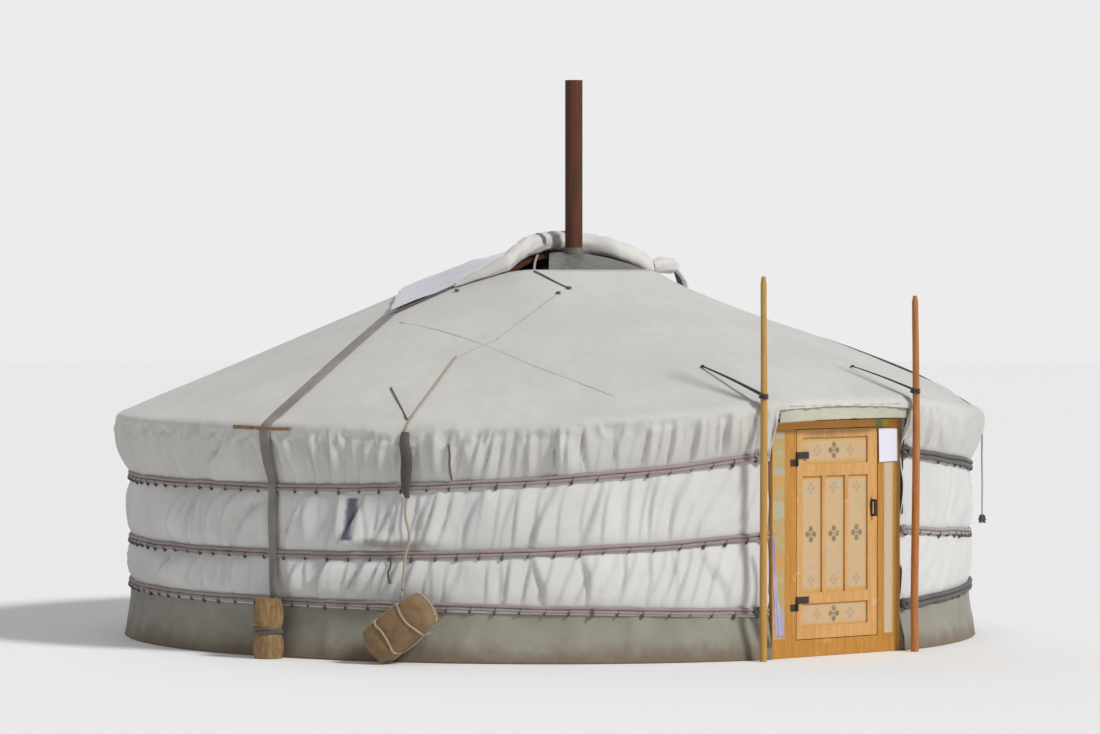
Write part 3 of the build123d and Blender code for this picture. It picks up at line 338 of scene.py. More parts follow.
def cloth_finish(name, pale, shade, stains, weave=0.0035, dirt=None, dirt_top=0.16):
    """Canvas with a plain weave, soft blotches and, where asked, dirt that fades upwards."""
    made = Finish(name, roughness=0.86, Sheen_Weight=0.15, Sheen_Roughness=0.5, Specular_IOR_Level=0.25)
    spot = made.spot()
    surface = made.spot("UV")
    blotch = made.clouds(spot, 1.7, 4.0, 0.6).above(0.35, 0.7)
    fine = made.clouds(spot, 9.0, 3.0, 0.6).above(0.4, 0.75)
    colour = made.mix(blotch * stains, pale, shade)
    colour = made.mix(fine * (stains * 0.5), colour, shade)
    if dirt:
        height = made.axes(spot)[2]
        creep = made.clouds(spot, 5.0, 4.0, 0.65)
        soil = 1 - (height + (creep - 0.5) * dirt_top * 1.4).above(0.0, dirt_top)
        colour = made.mix(soil * 0.85, colour, dirt)
    warp, weft = [(axis * (2 * pi / weave)).wave() for axis in made.axes(surface)[:2]]
    threads = warp * weft * 0.25 + made.clouds(surface, 120.0, 2.0, 0.6)
    crumple = made.clouds(spot, 14.0, 4.0, 0.6, 0.6)
    return made.cover(colour, threads, 0.0008, 0.5, made.bump(crumple, 0.006, 0.5))


def wood_finish(name, pale, dark, grain, scale=(14, 14, 1.2), worn=None, gloss=0.55):
    """Wood or worn paint over wood, with the grain along one axis."""
    made = Finish(name, roughness=gloss, Specular_IOR_Level=0.4)
    spot = made.spot(scale=scale)
    streak = made.clouds(spot, 3.0, 5.0, 0.62, 0.4)
    line = made.clouds(spot, 11.0, 3.0, 0.5, 0.2)
    colour = made.mix(streak.above(0.3, 0.72), pale, dark)
    colour = made.mix(line.above(0.52, 0.72) * 0.45, colour, grain)
    if worn:
        rub = (made.clouds(made.spot(), 7.0, 6.0, 0.7) + (line - 0.5) * 0.35).above(0.62, 0.68)
        colour = made.mix(rub * 0.9, colour, worn)
        made.feed("Roughness", gloss + rub * 0.3)
    return made.cover(colour, streak + line, 0.0012, 0.6)


def rope_finish(name, pale, dark):
    """Rope of three twisted strands: UV runs along and round the rope."""
    pitch, strands = 0.06, 3
    made = Finish(name, roughness=0.92, Sheen_Weight=0.2, Sheen_Roughness=0.6, Specular_IOR_Level=0.2)
    along = made.axes(made.spot("UV"))
    lay = ((along[0] * (1 / pitch) + along[1]) * (2 * pi * strands)).wave()
    hair = made.clouds(made.spot("UV", (60, 9, 1)), 6.0, 4.0, 0.7)
    patch = made.clouds(made.spot(), 6.0, 3.0, 0.6)
    colour = made.mix((lay * -0.5 + 0.5) * 0.6, pale, dark)
    colour = made.mix((hair * 0.5 + patch * 0.8).above(0.55, 0.95) * 0.55, colour, dark)
    return made.cover(colour, lay * 0.6 + hair, 0.004, 0.8)


def wall_finish():
    """The wall cloth's finish with a blue patch and a brown stain at the front left."""
    made = cloth_finish("wall canvas", (216, 215, 212), (196, 195, 192), 0.4)
    spot = made.spot()
    x, y, z = made.axes(spot)
    uneven = made.clouds(spot, 9.0, 4.0, 0.6) - 0.5
    left = 1 - (x + 1.6).above(-0.05, 0.05)
    blue = (y + 1.132 + uneven * 0.04).within(0.012, 0.040) * z.between(0.763, 1.053, 0.02) * left
    brown = (z - 0.749 + uneven * 0.06).within(0.01, 0.05) * (y + 1.382 + uneven * 0.2).within(0.08, 0.30) * left
    colour = made.mix(brown * 0.65, made.colour(), (132, 116, 98))
    made.feed("Base Color", made.mix(blue * 0.88, colour, (62, 64, 90)))
    return made


def roll_finish():
    """The crown cloth's finish with brown stains along its lower side and two blue patches."""
    made = cloth_finish("rolled crown cloth", (222, 219, 212), (196, 193, 186), 0.6)
    spot = made.spot()
    x, _, z = made.axes(spot)
    cloud = made.clouds(spot, 16.0, 4.0, 0.65)
    low = 1 - (z + x * 0.34 + (cloud - 0.5) * 0.1).above(2.66, 2.72)
    stain = low * cloud.above(0.44, 0.62) * x.above(0.2, 0.4) * (1 - x.above(0.8, 0.95))
    colour = made.mix(stain * 0.8, made.colour(), (128, 92, 62))
    blue = (x + 0.2).within(0.02, 0.035).most((x - 0.115).within(0.03, 0.05))
    blue = blue * (z + (cloud - 0.5) * 0.08).above(2.665, 2.69)
    made.feed("Base Color", made.mix(blue * 0.85, colour, (62, 60, 92)))
    return made


def petals(x, z, reach):
    """Four petals round a place, from the distances aside and up from it."""
    middle = (x * x + z * z) ** 0.5
    flower = 1 - middle.above(reach * 0.2, reach * 0.34)
    for across, up in ((reach, 0.0), (0.0, reach * 1.15)):
        away = ((x - across) * (x - across) + (z - up) * (z - up)) ** 0.5
        flower = flower.most(1 - away.above(reach * 0.42, reach * 0.85))
    return flower


def painted(name, gloss, shine, along, flecks):
    """Paint on boards: the finish, the place on them, and noise for the grain and the flecks."""
    made = Finish(name, roughness=gloss, Specular_IOR_Level=shine)
    spot = made.spot()
    grain = made.clouds(made.spot(scale=(along, along, 1.5)), 5.0, 4.0, 0.6)
    return made, made.axes(spot), grain, made.clouds(spot, flecks, 3.0, 0.6)


def panel_finish():
    """Buff paint with faded pastel flowers, a darker four-petalled one in the middle of each panel."""
    made, (x, _, z), grain, fleck = painted("buff paint", 0.6, 0.4, 20, 34.0)
    hue = made.clouds(made.spot(move=(3, 0, 1)), 13.0, 2.0, 0.5)
    colour = made.mix(grain.above(0.35, 0.7) * 0.5, (206, 166, 104), (190, 146, 84))
    ends = abs(z - 1.336).least(abs(z - 0.2705))
    centre = abs(z - 0.793)
    inner = (1 - ends.above(0.055, 0.064)).most(1 - centre.above(0.345, 0.36))
    colour = made.mix(inner * 0.55, colour, (202, 178, 138))
    tints = (0.3, 0.42, (170, 176, 152)), (0.44, 0.54, (204, 166, 146)), (0.56, 0.66, (176, 164, 168))
    for low, high, tint in tints:
        spots = hue.between(low, high, 0.03) * fleck.above(0.42, 0.6)
        colour = made.mix(spots * inner * 0.75, colour, tint)
    beside = abs(x + 0.0125)
    each = beside.least(abs(beside - 0.207))
    flower = petals(beside, ends, 0.030).most(petals(each, centre, 0.030))
    small = petals(each, abs(centre - 0.30), 0.022).most(petals(abs(beside - 0.15), ends, 0.022))
    colour = made.mix(small * 0.4, colour, (150, 128, 130))
    colour = made.mix(flower * fleck.above(0.2, 0.45) * 0.72, colour, (96, 84, 72))
    return made.cover(colour, grain + fleck * 0.4, 0.0012, 0.6)


def board_finish():
    """Pale boards beside the leaf: pastel fields on the left one, cream with a mauve middle on the right. The right
    board's paler cream base is partly painted light, for a board lit more than the left one.
    """
    made, (x, _, z), grain, fleck = painted("pale boards", 0.65, 0.35, 24, 40.0)
    field = made.clouds(made.spot(scale=(0.4, 0.4, 1)), 4.6, 2.0, 0.5)
    left = made.mix(grain.above(0.35, 0.7) * 0.5, (184, 160, 108), (170, 140, 90))
    tints = (0.28, 0.42, (172, 182, 158)), (0.46, 0.53, (196, 164, 152)), (0.56, 0.72, (166, 172, 178))
    for low, high, tint in tints:
        left = made.mix(field.between(low, high, 0.06) * (0.35 + fleck * 0.4), left, tint)
    ochre = (z - 1.15).within(0.02, 0.06).most((z - 0.62).within(0.03, 0.08))
    left = made.mix(ochre * 0.7, left, (204, 148, 76))
    # The right board's cream base is paler than the left one's buff, partly as painted light for a board lit more;
    # the mauve middle is painted ornament
    right = made.mix(grain.above(0.35, 0.7) * 0.5, (200, 180, 142), (186, 162, 118))
    right = made.mix((x - 0.473).within(0.012, 0.024) * fleck.above(0.3, 0.6) * 0.7, right, (204, 180, 176))
    return made.cover(made.mix(x.above(-0.05, 0.05), left, right), grain + fleck * 0.4, 0.0012, 0.6)


def lintel_finish():
    """Ochre paint with a worn green and yellow patch at the right end."""
    made = wood_finish("ochre lintel paint", (222, 158, 76), (206, 138, 54), (166, 104, 34), (1.2, 14, 14))
    x = made.axes(made.spot())[0]
    tint = made.mix(x.above(0.405, 0.425), (128, 146, 104), (206, 180, 60))
    made.feed("Base Color", made.mix(x.between(0.345, 0.485, 0.015) * 0.85, made.colour(), tint))
    return made


# Meshes
@contextmanager
def editing(made):
    """A piece's mesh as a bmesh, written back at the end."""
    work = bmesh.new()
    work.from_mesh(made.data)
    yield work
    work.to_mesh(made.data)
    work.free()


def linked(name, points, faces):
    """Object with a mesh of faces over points."""
    mesh = bpy.data.meshes.new(name)
    mesh.from_pydata([tuple(point) for point in points], [], faces)
    made = bpy.data.objects.new(name, mesh)
    bpy.context.scene.collection.objects.link(made)
    return made


def smooth(made):
    made.data.polygons.foreach_set("use_smooth", [True] * len(made.data.polygons))
    made.data.update()
    return made


def grid(name, rows, across, along, closed=False):
    """Mesh of quads over rows of points, smooth, with its UV map in metres."""
    wide = len(rows[0])
    faces, corners = [], []
    for row in range(len(rows) - 1):
        for column in range(wide if closed else wide - 1):
            start, after = row * wide, (column + 1) % wide
            faces.append((start + column, start + after, start + wide + after, start + wide + column))
            corners += [(row, column), (row, column + 1), (row + 1, column + 1), (row + 1, column)]
    made = linked(name, [point for row in rows for point in row], faces)
    layer = made.data.uv_layers.new(name="UVMap")
    layer.data.foreach_set("uv", [part for row, column in corners for part in (across[column], along[row])])
    return smooth(made)


def select(*objects):
    bpy.ops.object.select_all(action="DESELECT")
    for made in objects:
        made.select_set(True)
    bpy.context.view_layer.objects.active = objects[0]


def shaped(made, kind, **settings):
    """Add a modifier and apply it."""
    modifier = made.modifiers.new(kind.lower(), kind)
    for name, value in settings.items():
        setattr(modifier, name, value)
    select(made)
    bpy.ops.object.modifier_apply(modifier=modifier.name)


def outwards(made, wide=0):
    """Close the two ends of a tube, wide corners each, and turn its faces outwards."""
    with editing(made) as work:
        work.verts.ensure_lookup_table()
        for start in (0, len(work.verts) - wide) if wide else ():
            work.faces.new([work.verts[start + corner] for corner in range(wide)])
        bmesh.ops.remove_doubles(work, verts=work.verts, dist=1e-5)
        bmesh.ops.recalc_face_normals(work, faces=work.faces)
    return made


def joined(name, made):
    """Several objects as one mesh."""
    select(*made)
    bpy.ops.object.join()
    made[0].name = name
    made[0].data.name = name
    return made[0]


def place(made, finish, slot, nodes=(), body="ger"):
    """Give a piece its finish, its body and the CAD nodes that it stands for."""
    made.data.materials.clear()
    made.data.materials.append(finishes[finish].material)
    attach(made, body)
    if nodes:
        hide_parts(*nodes)
    return made


def cloth(name, rows, across, along, thickness, finish, slot, nodes=(), offset=-1.0, closed=False):
    """Sheet over rows of points; offset is -1 for its thickness on the inner side and 0 for both."""
    made = grid(name, rows, across, along, closed)
    shaped(made, "SOLIDIFY", thickness=thickness, offset=offset, use_even_offset=False)
    return place(made, finish, slot, nodes)


def smooth_line(points, steps):
    """Points along the NURBS curve of a route."""
    data = bpy.data.curves.new("route", "CURVE")
    data.dimensions = "3D"
    spline = data.splines.new("NURBS")
    spline.points.add(len(points) - 1)
    for corner, point in zip(spline.points, points):
        corner.co = (*point, 1.0)
    spline.order_u = 3
    spline.use_endpoint_u = True
    data.resolution_u = steps
    carrier = bpy.data.objects.new("route", data)
    bpy.context.scene.collection.objects.link(carrier)
    bpy.context.view_layer.update()
    mesh = bpy.data.meshes.new_from_object(carrier)
    line = [vertex.co.copy() for vertex in mesh.vertices]
    bpy.data.objects.remove(carrier)
    bpy.data.curves.remove(data)
    bpy.data.meshes.remove(mesh)
    return line


def tube(name, line, outline, outward=None, closed=False):
    """Tube along a line. outline(share) gives points (aside, out) round it, and outward(point) its outer side."""
    rows = []
    last = len(line) - 1
    for step, point in enumerate(line):
        way = line[min(step + 1, last)] - line[max(step - 1, 0)]
        if closed and step in (0, last):
            way = line[1] - line[-2]
        way.normalize()
        out = outward(point) if outward else Vector((0, 0, 1)) if abs(way.z) < 0.9 else Vector((1, 0, 0))
        out = (out - way * out.dot(way)).normalized()
        aside = way.cross(out)
        rows.append([point + aside * a + out * b for a, b in outline(step / last)])
    sides = len(rows[0])
    made = grid(name, rows, values(0, 1, sides), lengths(line), True)
    layer = made.data.uv_layers[0].data
    layer.foreach_set("uv", [part for corner in layer for part in (corner.uv[1], corner.uv[0])])
    return outwards(made, 0 if closed else sides)


def oval(aside, out, sides=12):
    """Points round an oval outline."""
    return [(aside * cos(turn), out * sin(turn)) for turn in values(0, 2 * pi, sides)[:-1]]


def round_outline(radius, sides=8):
    return lambda share: oval(radius, radius, sides)


def loop(point, outline, steps=24):
    """Closed rope through point(turn)."""
    return tube("loop", [point(turn) for turn in values(0, 2 * pi, steps)], outline, closed=True)


def ring(middle, wide, deep, wave, waves=1, lag=0.0, thickness=0.008, steps=24):
    """Closed rope round a middle that rises and falls as it goes round."""

    def point(turn):
        return middle + Vector((wide * cos(turn), deep * sin(turn), wave * sin(waves * turn + lag)))

    return loop(point, round_outline(thickness), steps)


def from_axis(point):
    return Vector((point.x, point.y, 0)).normalized()


def surface_normal(point):
    """Outward side: the roof's slope on the roof, level on the wall, turning at the eave."""
    reach = hypot(point.x, point.y)
    tilt = radians(23 + 67 * ease(2.86, 3.02, reach)) if point.z > EAVE_Z - 0.03 else radians(90)
    return (from_axis(point) * sin(tilt) + Vector((0, 0, cos(tilt)))).normalized()


def band(name, line, width, height, taper=lambda share: 1.0):
    """Flat band along a line, with its thickness along the tent's outward side."""

    def outline(share):
        half = width / 2 * taper(share)
        edge = height / 2
        soft = half - edge * 0.6
        lower = [(-soft, -edge), (0, -edge * 0.8), (soft, -edge), (half, 0)]
        return lower + [(soft, edge), (0, edge * 1.15), (-soft, edge), (-half, 0)]

    return tube(name, line, outline, surface_normal)


# Finishes
finishes = {
    "roof": cloth_finish("roof canvas", (210, 208, 203), (194, 191, 185), 0.5),
    "wall": wall_finish(),
    "skirt": cloth_finish("skirt cloth", (154, 150, 138), (134, 129, 117), 0.7, dirt=(118, 100, 80)),
    "cover": cloth_finish("crown cloth", (222, 220, 228), (200, 198, 206), 0.5),
    "felt": cloth_finish("grey felt", (190, 182, 168), (160, 150, 134), 0.8, 0.02),
    "hair_rope": rope_finish("hair rope", (184, 168, 166), (136, 120, 120)),
    "dark_rope": rope_finish("dark rope", (112, 108, 106), (66, 62, 64)),
    "black_rope": rope_finish("black rope", (70, 68, 74), (38, 36, 42)),
    "olive_rope": rope_finish("olive rope", (112, 104, 88), (66, 60, 50)),
    "pale_rope": rope_finish("pale hair rope", (190, 182, 178), (140, 130, 126)),
    "knot_rope": rope_finish("knot rope", (120, 110, 106), (76, 68, 66)),
    "light_rope": rope_finish("light rope", (198, 184, 160), (150, 130, 105)),
    "strap": cloth_finish("flat strap", (150, 143, 138), (112, 104, 100), 0.8, 0.006),
    "pale_strap": cloth_finish("pale strap", (186, 182, 176), (150, 144, 140), 0.6, 0.006),
    "head": cloth_finish("head cloth", (200, 196, 176), (176, 174, 160), 0.7),
    "roll": roll_finish(),
    "dark_cloth": cloth_finish("dark strap", (104, 97, 93), (80, 74, 70), 0.9),
    "seam": cloth_finish("roof seam", (196, 192, 185), (182, 178, 171), 0.5),
    "paper": cloth_finish("paper", (228, 228, 238), (212, 212, 226), 0.3, 0.001),
    "scarf": cloth_finish("violet cloth", (204, 196, 214), (150, 140, 176), 0.8, 0.002),
    "sack": cloth_finish("hay sacking", (138, 112, 80), (96, 74, 50), 0.9, 0.008),
    "door": wood_finish("ochre paint", (194, 139, 58), (176, 121, 46), (150, 98, 36), worn=(206, 160, 100)),
    "leaf": wood_finish("leaf paint", (214, 164, 104), (198, 145, 80), (172, 120, 62), worn=(214, 180, 132)),
    "panel": panel_finish(),
    "board": board_finish(),
    "lintel": lintel_finish(),
    "pole_left": wood_finish("ochre pole", (196, 152, 78), (178, 136, 70), (138, 98, 48), (22, 22, 1.2)),
    "pole_right": wood_finish("brown pole", (192, 126, 66), (166, 102, 52), (120, 72, 38), (22, 22, 1.2)),
    "stump": wood_finish("grey log", (158, 130, 92), (120, 90, 60), (84, 62, 42), (16, 16, 2.2), gloss=0.9),
    "frame_wood": wood_finish("stained wood", (196, 120, 58), (168, 94, 42), (120, 64, 28), (9, 9, 9)),
    # Crown ring and spokes: dark brown wood whose darkness is painted shade, for spokes that lie in shadow under the
    # crown
    "crown_wood_painted_shade": wood_finish("crown wood with painted shade", (98, 62, 40), (70, 44, 30), (44, 30, 22), (9, 9, 9)),
    "iron": wood_finish("dark iron", (62, 56, 52), (44, 40, 38), (88, 58, 42), (20, 20, 20), gloss=0.6),
    "rust": wood_finish("rusted steel", (98, 55, 36), (76, 43, 29), (54, 34, 26), (9, 9, 0.8), gloss=0.75),
    # Flue plate: its grey is darkened as painted shade, for the shade that the crown's roll casts on it
    "plate": wood_finish("plate with painted shade", (122, 122, 116), (98, 97, 92), (84, 76, 66), (7, 7, 7), gloss=0.5),
}


# Folds
def strength_of_folds(angle):
    """How much the wall cloth is creased: most at the front left, less towards the door."""
    a = turned(angle)
    return 0.75 + 0.6 * hill(a, -98, 30) + 0.35 * hill(a, -50, 18) + 0.3 * hill(a, 110, 40)


def round_angles(first, last):
    """Angles from first to last, finer over the front, where most of the folds show."""
    angles = [first]
    while angles[-1] < last - 0.3:
        away = abs(turned(angles[-1]) + 45)
        angles.append(min(last, angles[-1] + (0.24 if away < 75 else 0.62)))
    angles[-1] = last
    return angles


def lumps(angle, z, width, tall, lean, seed):
    turn = radians(angle) + lean * z / WALL_OUTSIDE
    reach = WALL_OUTSIDE / width
    return rough(sin(turn) * reach, cos(turn) * reach, z / tall + seed)


def ridges(angle, z, width, tall, lean, seed):
    """Creases that run upwards and lean: near 1 on a ridge and 0 in the hollows."""
    return max(0.0, 1 - 2.1 * abs(lumps(angle, z, width, tall, lean, seed))) ** 1.5


def pleats(angle, z, width, lean, seed):
    """Overlapping folds that lean to the right as they rise: each grows slowly and ends in a quick drop."""
    count = round(2 * pi * WALL_OUTSIDE / width)
    turn = radians(angle)
    wander = rough(4 * sin(turn), 4 * cos(turn), z * 1.3 + seed)
    phase = count * (angle % 360) / 360 - lean * z / width + 1.8 * wander
    part = phase - floor(phase)
    number = floor(phase) % count
    depth = 0.5 + 1.1 * rough(number * 0.73, seed, z * 0.8)
    rise = (1 - part) / 0.86 if part > 0.14 else part / 0.14
    groove = hill(min(part, 1 - part), 0.0, 0.05)
    return max(0.0, depth) * (rise * rise * (3 - 2 * rise) - 0.35 * groove)


def notch(angle):
    """How far the eave is drawn down by the two ties on the front left."""
    a = turned(angle)
    return 0.060 * hill(a, BALLAST_ANGLE - 0.3, 2.6) + 0.022 * hill(a, STRAP_ANGLE, 2.4)


# Pieces
def free_strap():
    """Strap with a knotted end that hangs at the right eave."""
    # How far out, up and aside, in millimetres
    steps = [(0, 10, 0), (3, -140, 4), (-1, -310, -4), (5, -480, 3), (1, -630, -6), (3, -755, -2)]
    level = EAVE_Z + eave_lift(FREE_STRAP_ANGLE)
    route = [
        polar(2.9995 + out / 1000, FREE_STRAP_ANGLE, level + up / 1000, aside / 1000)
        for out, up, aside in steps
    ]
    line = smooth_line(route, 12)

    def outline(share):
        half = 0.018 * (1 - 0.12 * sin(share * 23))
        edge = 0.004
        return [(-half, -edge), (half, -edge), (half + 0.001, 0), (half, edge), (-half, edge), (-half - 0.001, 0)]

    strap = tube("hanging_strap_cloth", line, outline, from_axis)
    place(strap, "pale_strap", "dark_strap", ["hanging_strap"])
    rings = [
        ring(line[-1] + Vector((0, 0, up)), 0.6 * reach, reach, 0.006, 2, steps=30)
        for up, reach in ((0.012, 0.021), (0.03, 0.024), (0.046, 0.019))
    ]
    knot = joined("hanging_strap_knot", rings)
    place(knot, "dark_rope", "dark_strap")
    lengths(line)[-1]
    [tuple(point) for point in line]


def roof_cloth():
    """One sheet from the crown over the eave to the hem of its valance, or to a short lip over the door."""
    angles = round_angles(0.0, 359.8)
    angles = sorted(angles + [a for edge in (11.1, 11.3, 11.7, 11.9) for a in (edge, 360 - edge)])

    def on_roof(share, angle):
        radius = CROWN_EDGE + (TURN_START - CROWN_EDGE) * share
        z = canvas_top(radius) + eave_lift(angle) * share
        z += 0.006 * share * lumps(angle, radius * 2, 0.9, 1.3, 0.0, 3.0) - 0.001
        z += 0.005 * ease(0.4, 1, share) * ridges(angle, radius, 0.22, 0.5, 0.3, 7.0)
        z -= notch(angle) * ease(0.94, 1.0, share) * 0.12
        return polar(radius, angle, z + swell(radius, angle))

    def round_eave(share, angle):
        radius = TURN_START + (CLOTH_EAVE - TURN_START) * sin(pi / 2 * share) ** 0.9
        z = canvas_top(TURN_START) - 0.062 * (1 - cos(pi / 2 * share)) ** 0.8 - 0.003 + eave_lift(angle)
        z -= notch(angle) * (0.12 + 0.88 * share**1.5)
        radius -= notch(angle) * 0.35 * share
        radius += 0.006 * share * strength_of_folds(angle) * ridges(angle, 0.2, 0.12, 0.6, 0.1, 11.0)
        return polar(radius, angle, z)

    def on_valance(share, angle):
        a = abs(turned(angle))
        strength = strength_of_folds(angle)
        start = canvas_top(TURN_START) - 0.065 + eave_lift(angle) - notch(angle)
        full = upper_rope(angle) - HEM_BELOW_ROPE
        lip = start - 0.006 - 0.022 * min(1.0, a / 11.25) ** 2 - 0.006 * turned(angle) / 11.25
        hem = lip + (full - lip) * ease(11.3, 11.7, a)
        z = start + (hem - start) * share
        out = CLOTH_EAVE - notch(angle) * 0.35
        inner = VALANCE_OUTSIDE - 0.001
        down = min(1.0, max(0.0, (start - z) / (start - full - 0.05)))
        radius = out + (inner - out) * (0.35 * down + 0.65 * down**2)
        puff = sin(pi * min(1.0, down)) ** 0.7
        folds = pleats(angle, z, 0.20, 0.10, 21.0) + 0.55 * pleats(angle, z, 0.085, 0.05, 24.0)
        radius += puff * 0.046 * strength * (folds - 0.3)
        radius += 0.026 * strength * hill(down, 0.14, 0.12) * (ridges(angle, z, 0.11, 0.10, -0.6, 25.0) - 0.4)
        if a > 11.7 and z < upper_rope(angle) - 0.022:
            radius += 0.004 + 0.008 * max(0.0, lumps(angle, z, 0.09, 0.5, 0, 2.0))
        radius -= 0.02 * hill(turned(angle), BALLAST_ANGLE, 1.4) * puff
        radius -= 0.015 * hill(turned(angle), STRAP_ANGLE, 1.4) * puff
        felt_side = 2.964 if z > 1.488 and a > 11.9 else VALANCE_OUTSIDE - 0.002
        return polar(max(radius, min(out, felt_side)), angle, z)

    rows = table(ROOF_STEPS, angles, on_roof) + table([0.2, 0.4, 0.6, 0.8, 1.0], angles, round_eave)
    rows += table([count / 18 for count in range(1, 19)], angles, on_valance)
    across = [radians(angle) * EAVE for angle in angles] + [2 * pi * EAVE]
    along = lengths([row[300] for row in rows])
    made = cloth("roof_cloth", rows[::-1], across, along, 0.0025, "roof", "roof_cloth", ["roof_canvas"], closed=True)


def wall_cloth():
    """The wall canvas, drawn in by the ropes and creased between them."""
    angles = round_angles(DOOR_HALF + 0.05, 360 - DOOR_HALF - 0.05)
    levels = 36

    def point(level, angle):
        low = lower_rope(angle) - 0.032
        z = low + (1.46 - low) * level / levels
        ropes = [lower_rope(angle), middle_rope(angle), upper_rope(angle)]
        puff = 0.0
        for below, above in zip(ropes, ropes[1:]):
            if below < z < above:
                clear = ease(0.014, 0.06, min(z - below, above - z))
                puff = sin(pi * (z - below) / (above - below)) ** 0.6 * clear
        folds = pleats(angle, z, 0.25, 0.42, 31.0) + 0.5 * pleats(angle, z, 0.12, 0.3, 37.0)
        folds += 0.3 * lumps(angle, z, 0.5, 0.6, 0.3, 41.0)
        folds += 1.5 * hill(turned(angle), -88, 20) * pleats(angle, z, 0.34, 0.12, 61.0)
        press = 1 - 0.85 * hill(turned(angle), STRAP_ANGLE, 1.5)
        depth = min(0.10, 0.010 + 0.042 * strength_of_folds(angle) * max(-0.2, folds))
        radius = WALL_OUTSIDE - 0.0015 + puff * press * depth
        if z < ropes[0]:
            radius += 0.009 + 0.006 * lumps(angle, z, 0.14, 0.3, 0, 4.0)
        pocket = hill(turned(angle), -62, 7) * hill(z, middle_rope(angle) + 0.07, 0.07)
        radius += 0.045 * pocket * puff
        return polar(max(radius, WALL_OUTSIDE - 0.0015), angle, z)

    across = [radians(angle) * WALL_OUTSIDE for angle in angles]
    rows = table(range(levels + 1), angles, point)
    made = cloth("wall_cloth", rows, across, values(0, 1.14, levels), 0.002, "wall", "wall_cloth", ["wall_canvas"])


def skirt_cloths():
    """The grey skirt in three lengths, from under the lower rope out to the ground."""

    def point(share, angle):
        z = (lower_rope(angle) - 0.002) * share
        flare = (1 - min(1.0, z / 0.27)) ** 1.4
        radius = 2.8868 + (FEET_OUTSIDE - 2.8868) * flare
        body = ease(0.0, 0.12, z) * (1 - ease(0.8, 1.0, share))
        folds = ridges(angle, z, 0.3, 0.9, -0.3, 51.0) + 0.5 * lumps(angle, z, 0.16, 0.5, 0.2, 53.0)
        radius += 0.018 * body * max(0.0, folds)
        radius += 0.006 * (1 - share) * lumps(angle, 0, 0.2, 1, 0, 57.0)
        return polar(radius, angle, z)

    for side, first in THIRDS.items():
        start, stop = DOOR_HALF + PITCH * first, DOOR_HALF + PITCH * (first + THIRD)
        angles = values(start, stop, int((stop - start) / 0.5))
        across = [radians(angle) * WALL_OUTSIDE for angle in angles]
        along = [0.38 * share for share in SKIRT_STEPS]
        rows = table(SKIRT_STEPS, angles, point)
        made = cloth(f"skirt_cloth_{side}", rows, across, along, 0.002, "skirt", "skirt_cloth", [f"skirt_{side}"])


def facet(radius, angle):
    """Radius on the flat sides of the lattice's outline."""
    step = (abs(turned(angle)) - DOOR_HALF) % PITCH
    return radius * cos(radians(PITCH / 2)) / cos(radians(step - PITCH / 2))


def felt_shell(name, angles, outline, uneven, nodes):
    """Closed shell of felt round the tent: outline(angle) gives its corners."""
    rows = []
    for angle in angles:
        row = []
        for radius, z in outline(angle):
            bump = uneven * lumps(angle, z, 0.12, 0.1, 0, 61.0)
            row.append(polar(radius + bump, angle, z + bump * 0.5))
        rows.append(row)
    wide = len(rows[0])
    made = grid(name, rows, [0.06 * c for c in range(wide + 1)], [radians(a) * 2.8 for a in angles], True)
    smooth(outwards(made, wide))
    place(made, "felt", "felt", nodes)


def wall_felts():
    def outline(angle):
        inner = facet(LATTICE + 0.0005, angle) + 0.0005
        outer = FELT_OUTSIDE - 0.001
        levels = [0.034, 0.2, 0.5, 0.8, 1.1, 1.4, 1.474]
        return [(inner, z) for z in levels] + [(outer, z) for z in levels[::-1]]

    for side, first in THIRDS.items():
        start = DOOR_HALF + PITCH * first + (0.02 if first else 0)
        stop = DOOR_HALF + PITCH * (first + THIRD) - 0.02
        felt_shell(f"wall_felt_cloth_{side}", values(start, stop, 90), outline, 0.0, [f"wall_felt_{side}"])


def felt_lift(angle):
    """How much higher the roof felt lies over the door's raised poles."""
    a = abs(turned(angle))
    if a < DOOR_HALF:
        return 0.0485 - 0.0125 * ease(DOOR_HALF / 2, DOOR_HALF, a)
    return 0.036 * max(0.0, 1 - (a - DOOR_HALF) / PITCH)


def roof_felts():
    def outline(angle):
        shorter = 0.062 * (1 - ease(DOOR_HALF, DOOR_HALF + PITCH, abs(turned(angle))))
        lift = felt_lift(angle)
        radii = (0.706, 0.72, 1.2, 1.8, 2.4, 2.8, 2.9 - shorter)
        top = [(radius, canvas_top(radius) - 0.010 + lift * (radius - 0.7) / 2.15) for radius in radii]
        under = [(radius, z - 0.0315) for radius, z in top[::-1]]
        far = 2.958 - shorter
        drop = notch(angle) * 0.5 + 0.012 - lift
        edge = [(far - 0.012, 0), (far, 0.014), (far - 0.012, 0.032)]
        return top + [(radius, canvas_top(far) - down - drop) for radius, down in edge] + under

    for side, first, last, nodes in (
        ("front", -DOOR_HALF - PITCH * THIRD, DOOR_HALF + PITCH * THIRD, ["roof_felt_left", "roof_felt_right"]),
        ("rear", DOOR_HALF + PITCH * THIRD, DOOR_HALF + PITCH * 2 * THIRD, ["roof_felt_rear"]),
    ):
        count = int((last - first) / 1.2)
        angles = [first + 0.02 + (last - first - 0.04) * step / count for step in range(count + 1)]
        felt_shell(f"roof_felt_cloth_{side}", angles, outline, 0.001, nodes)


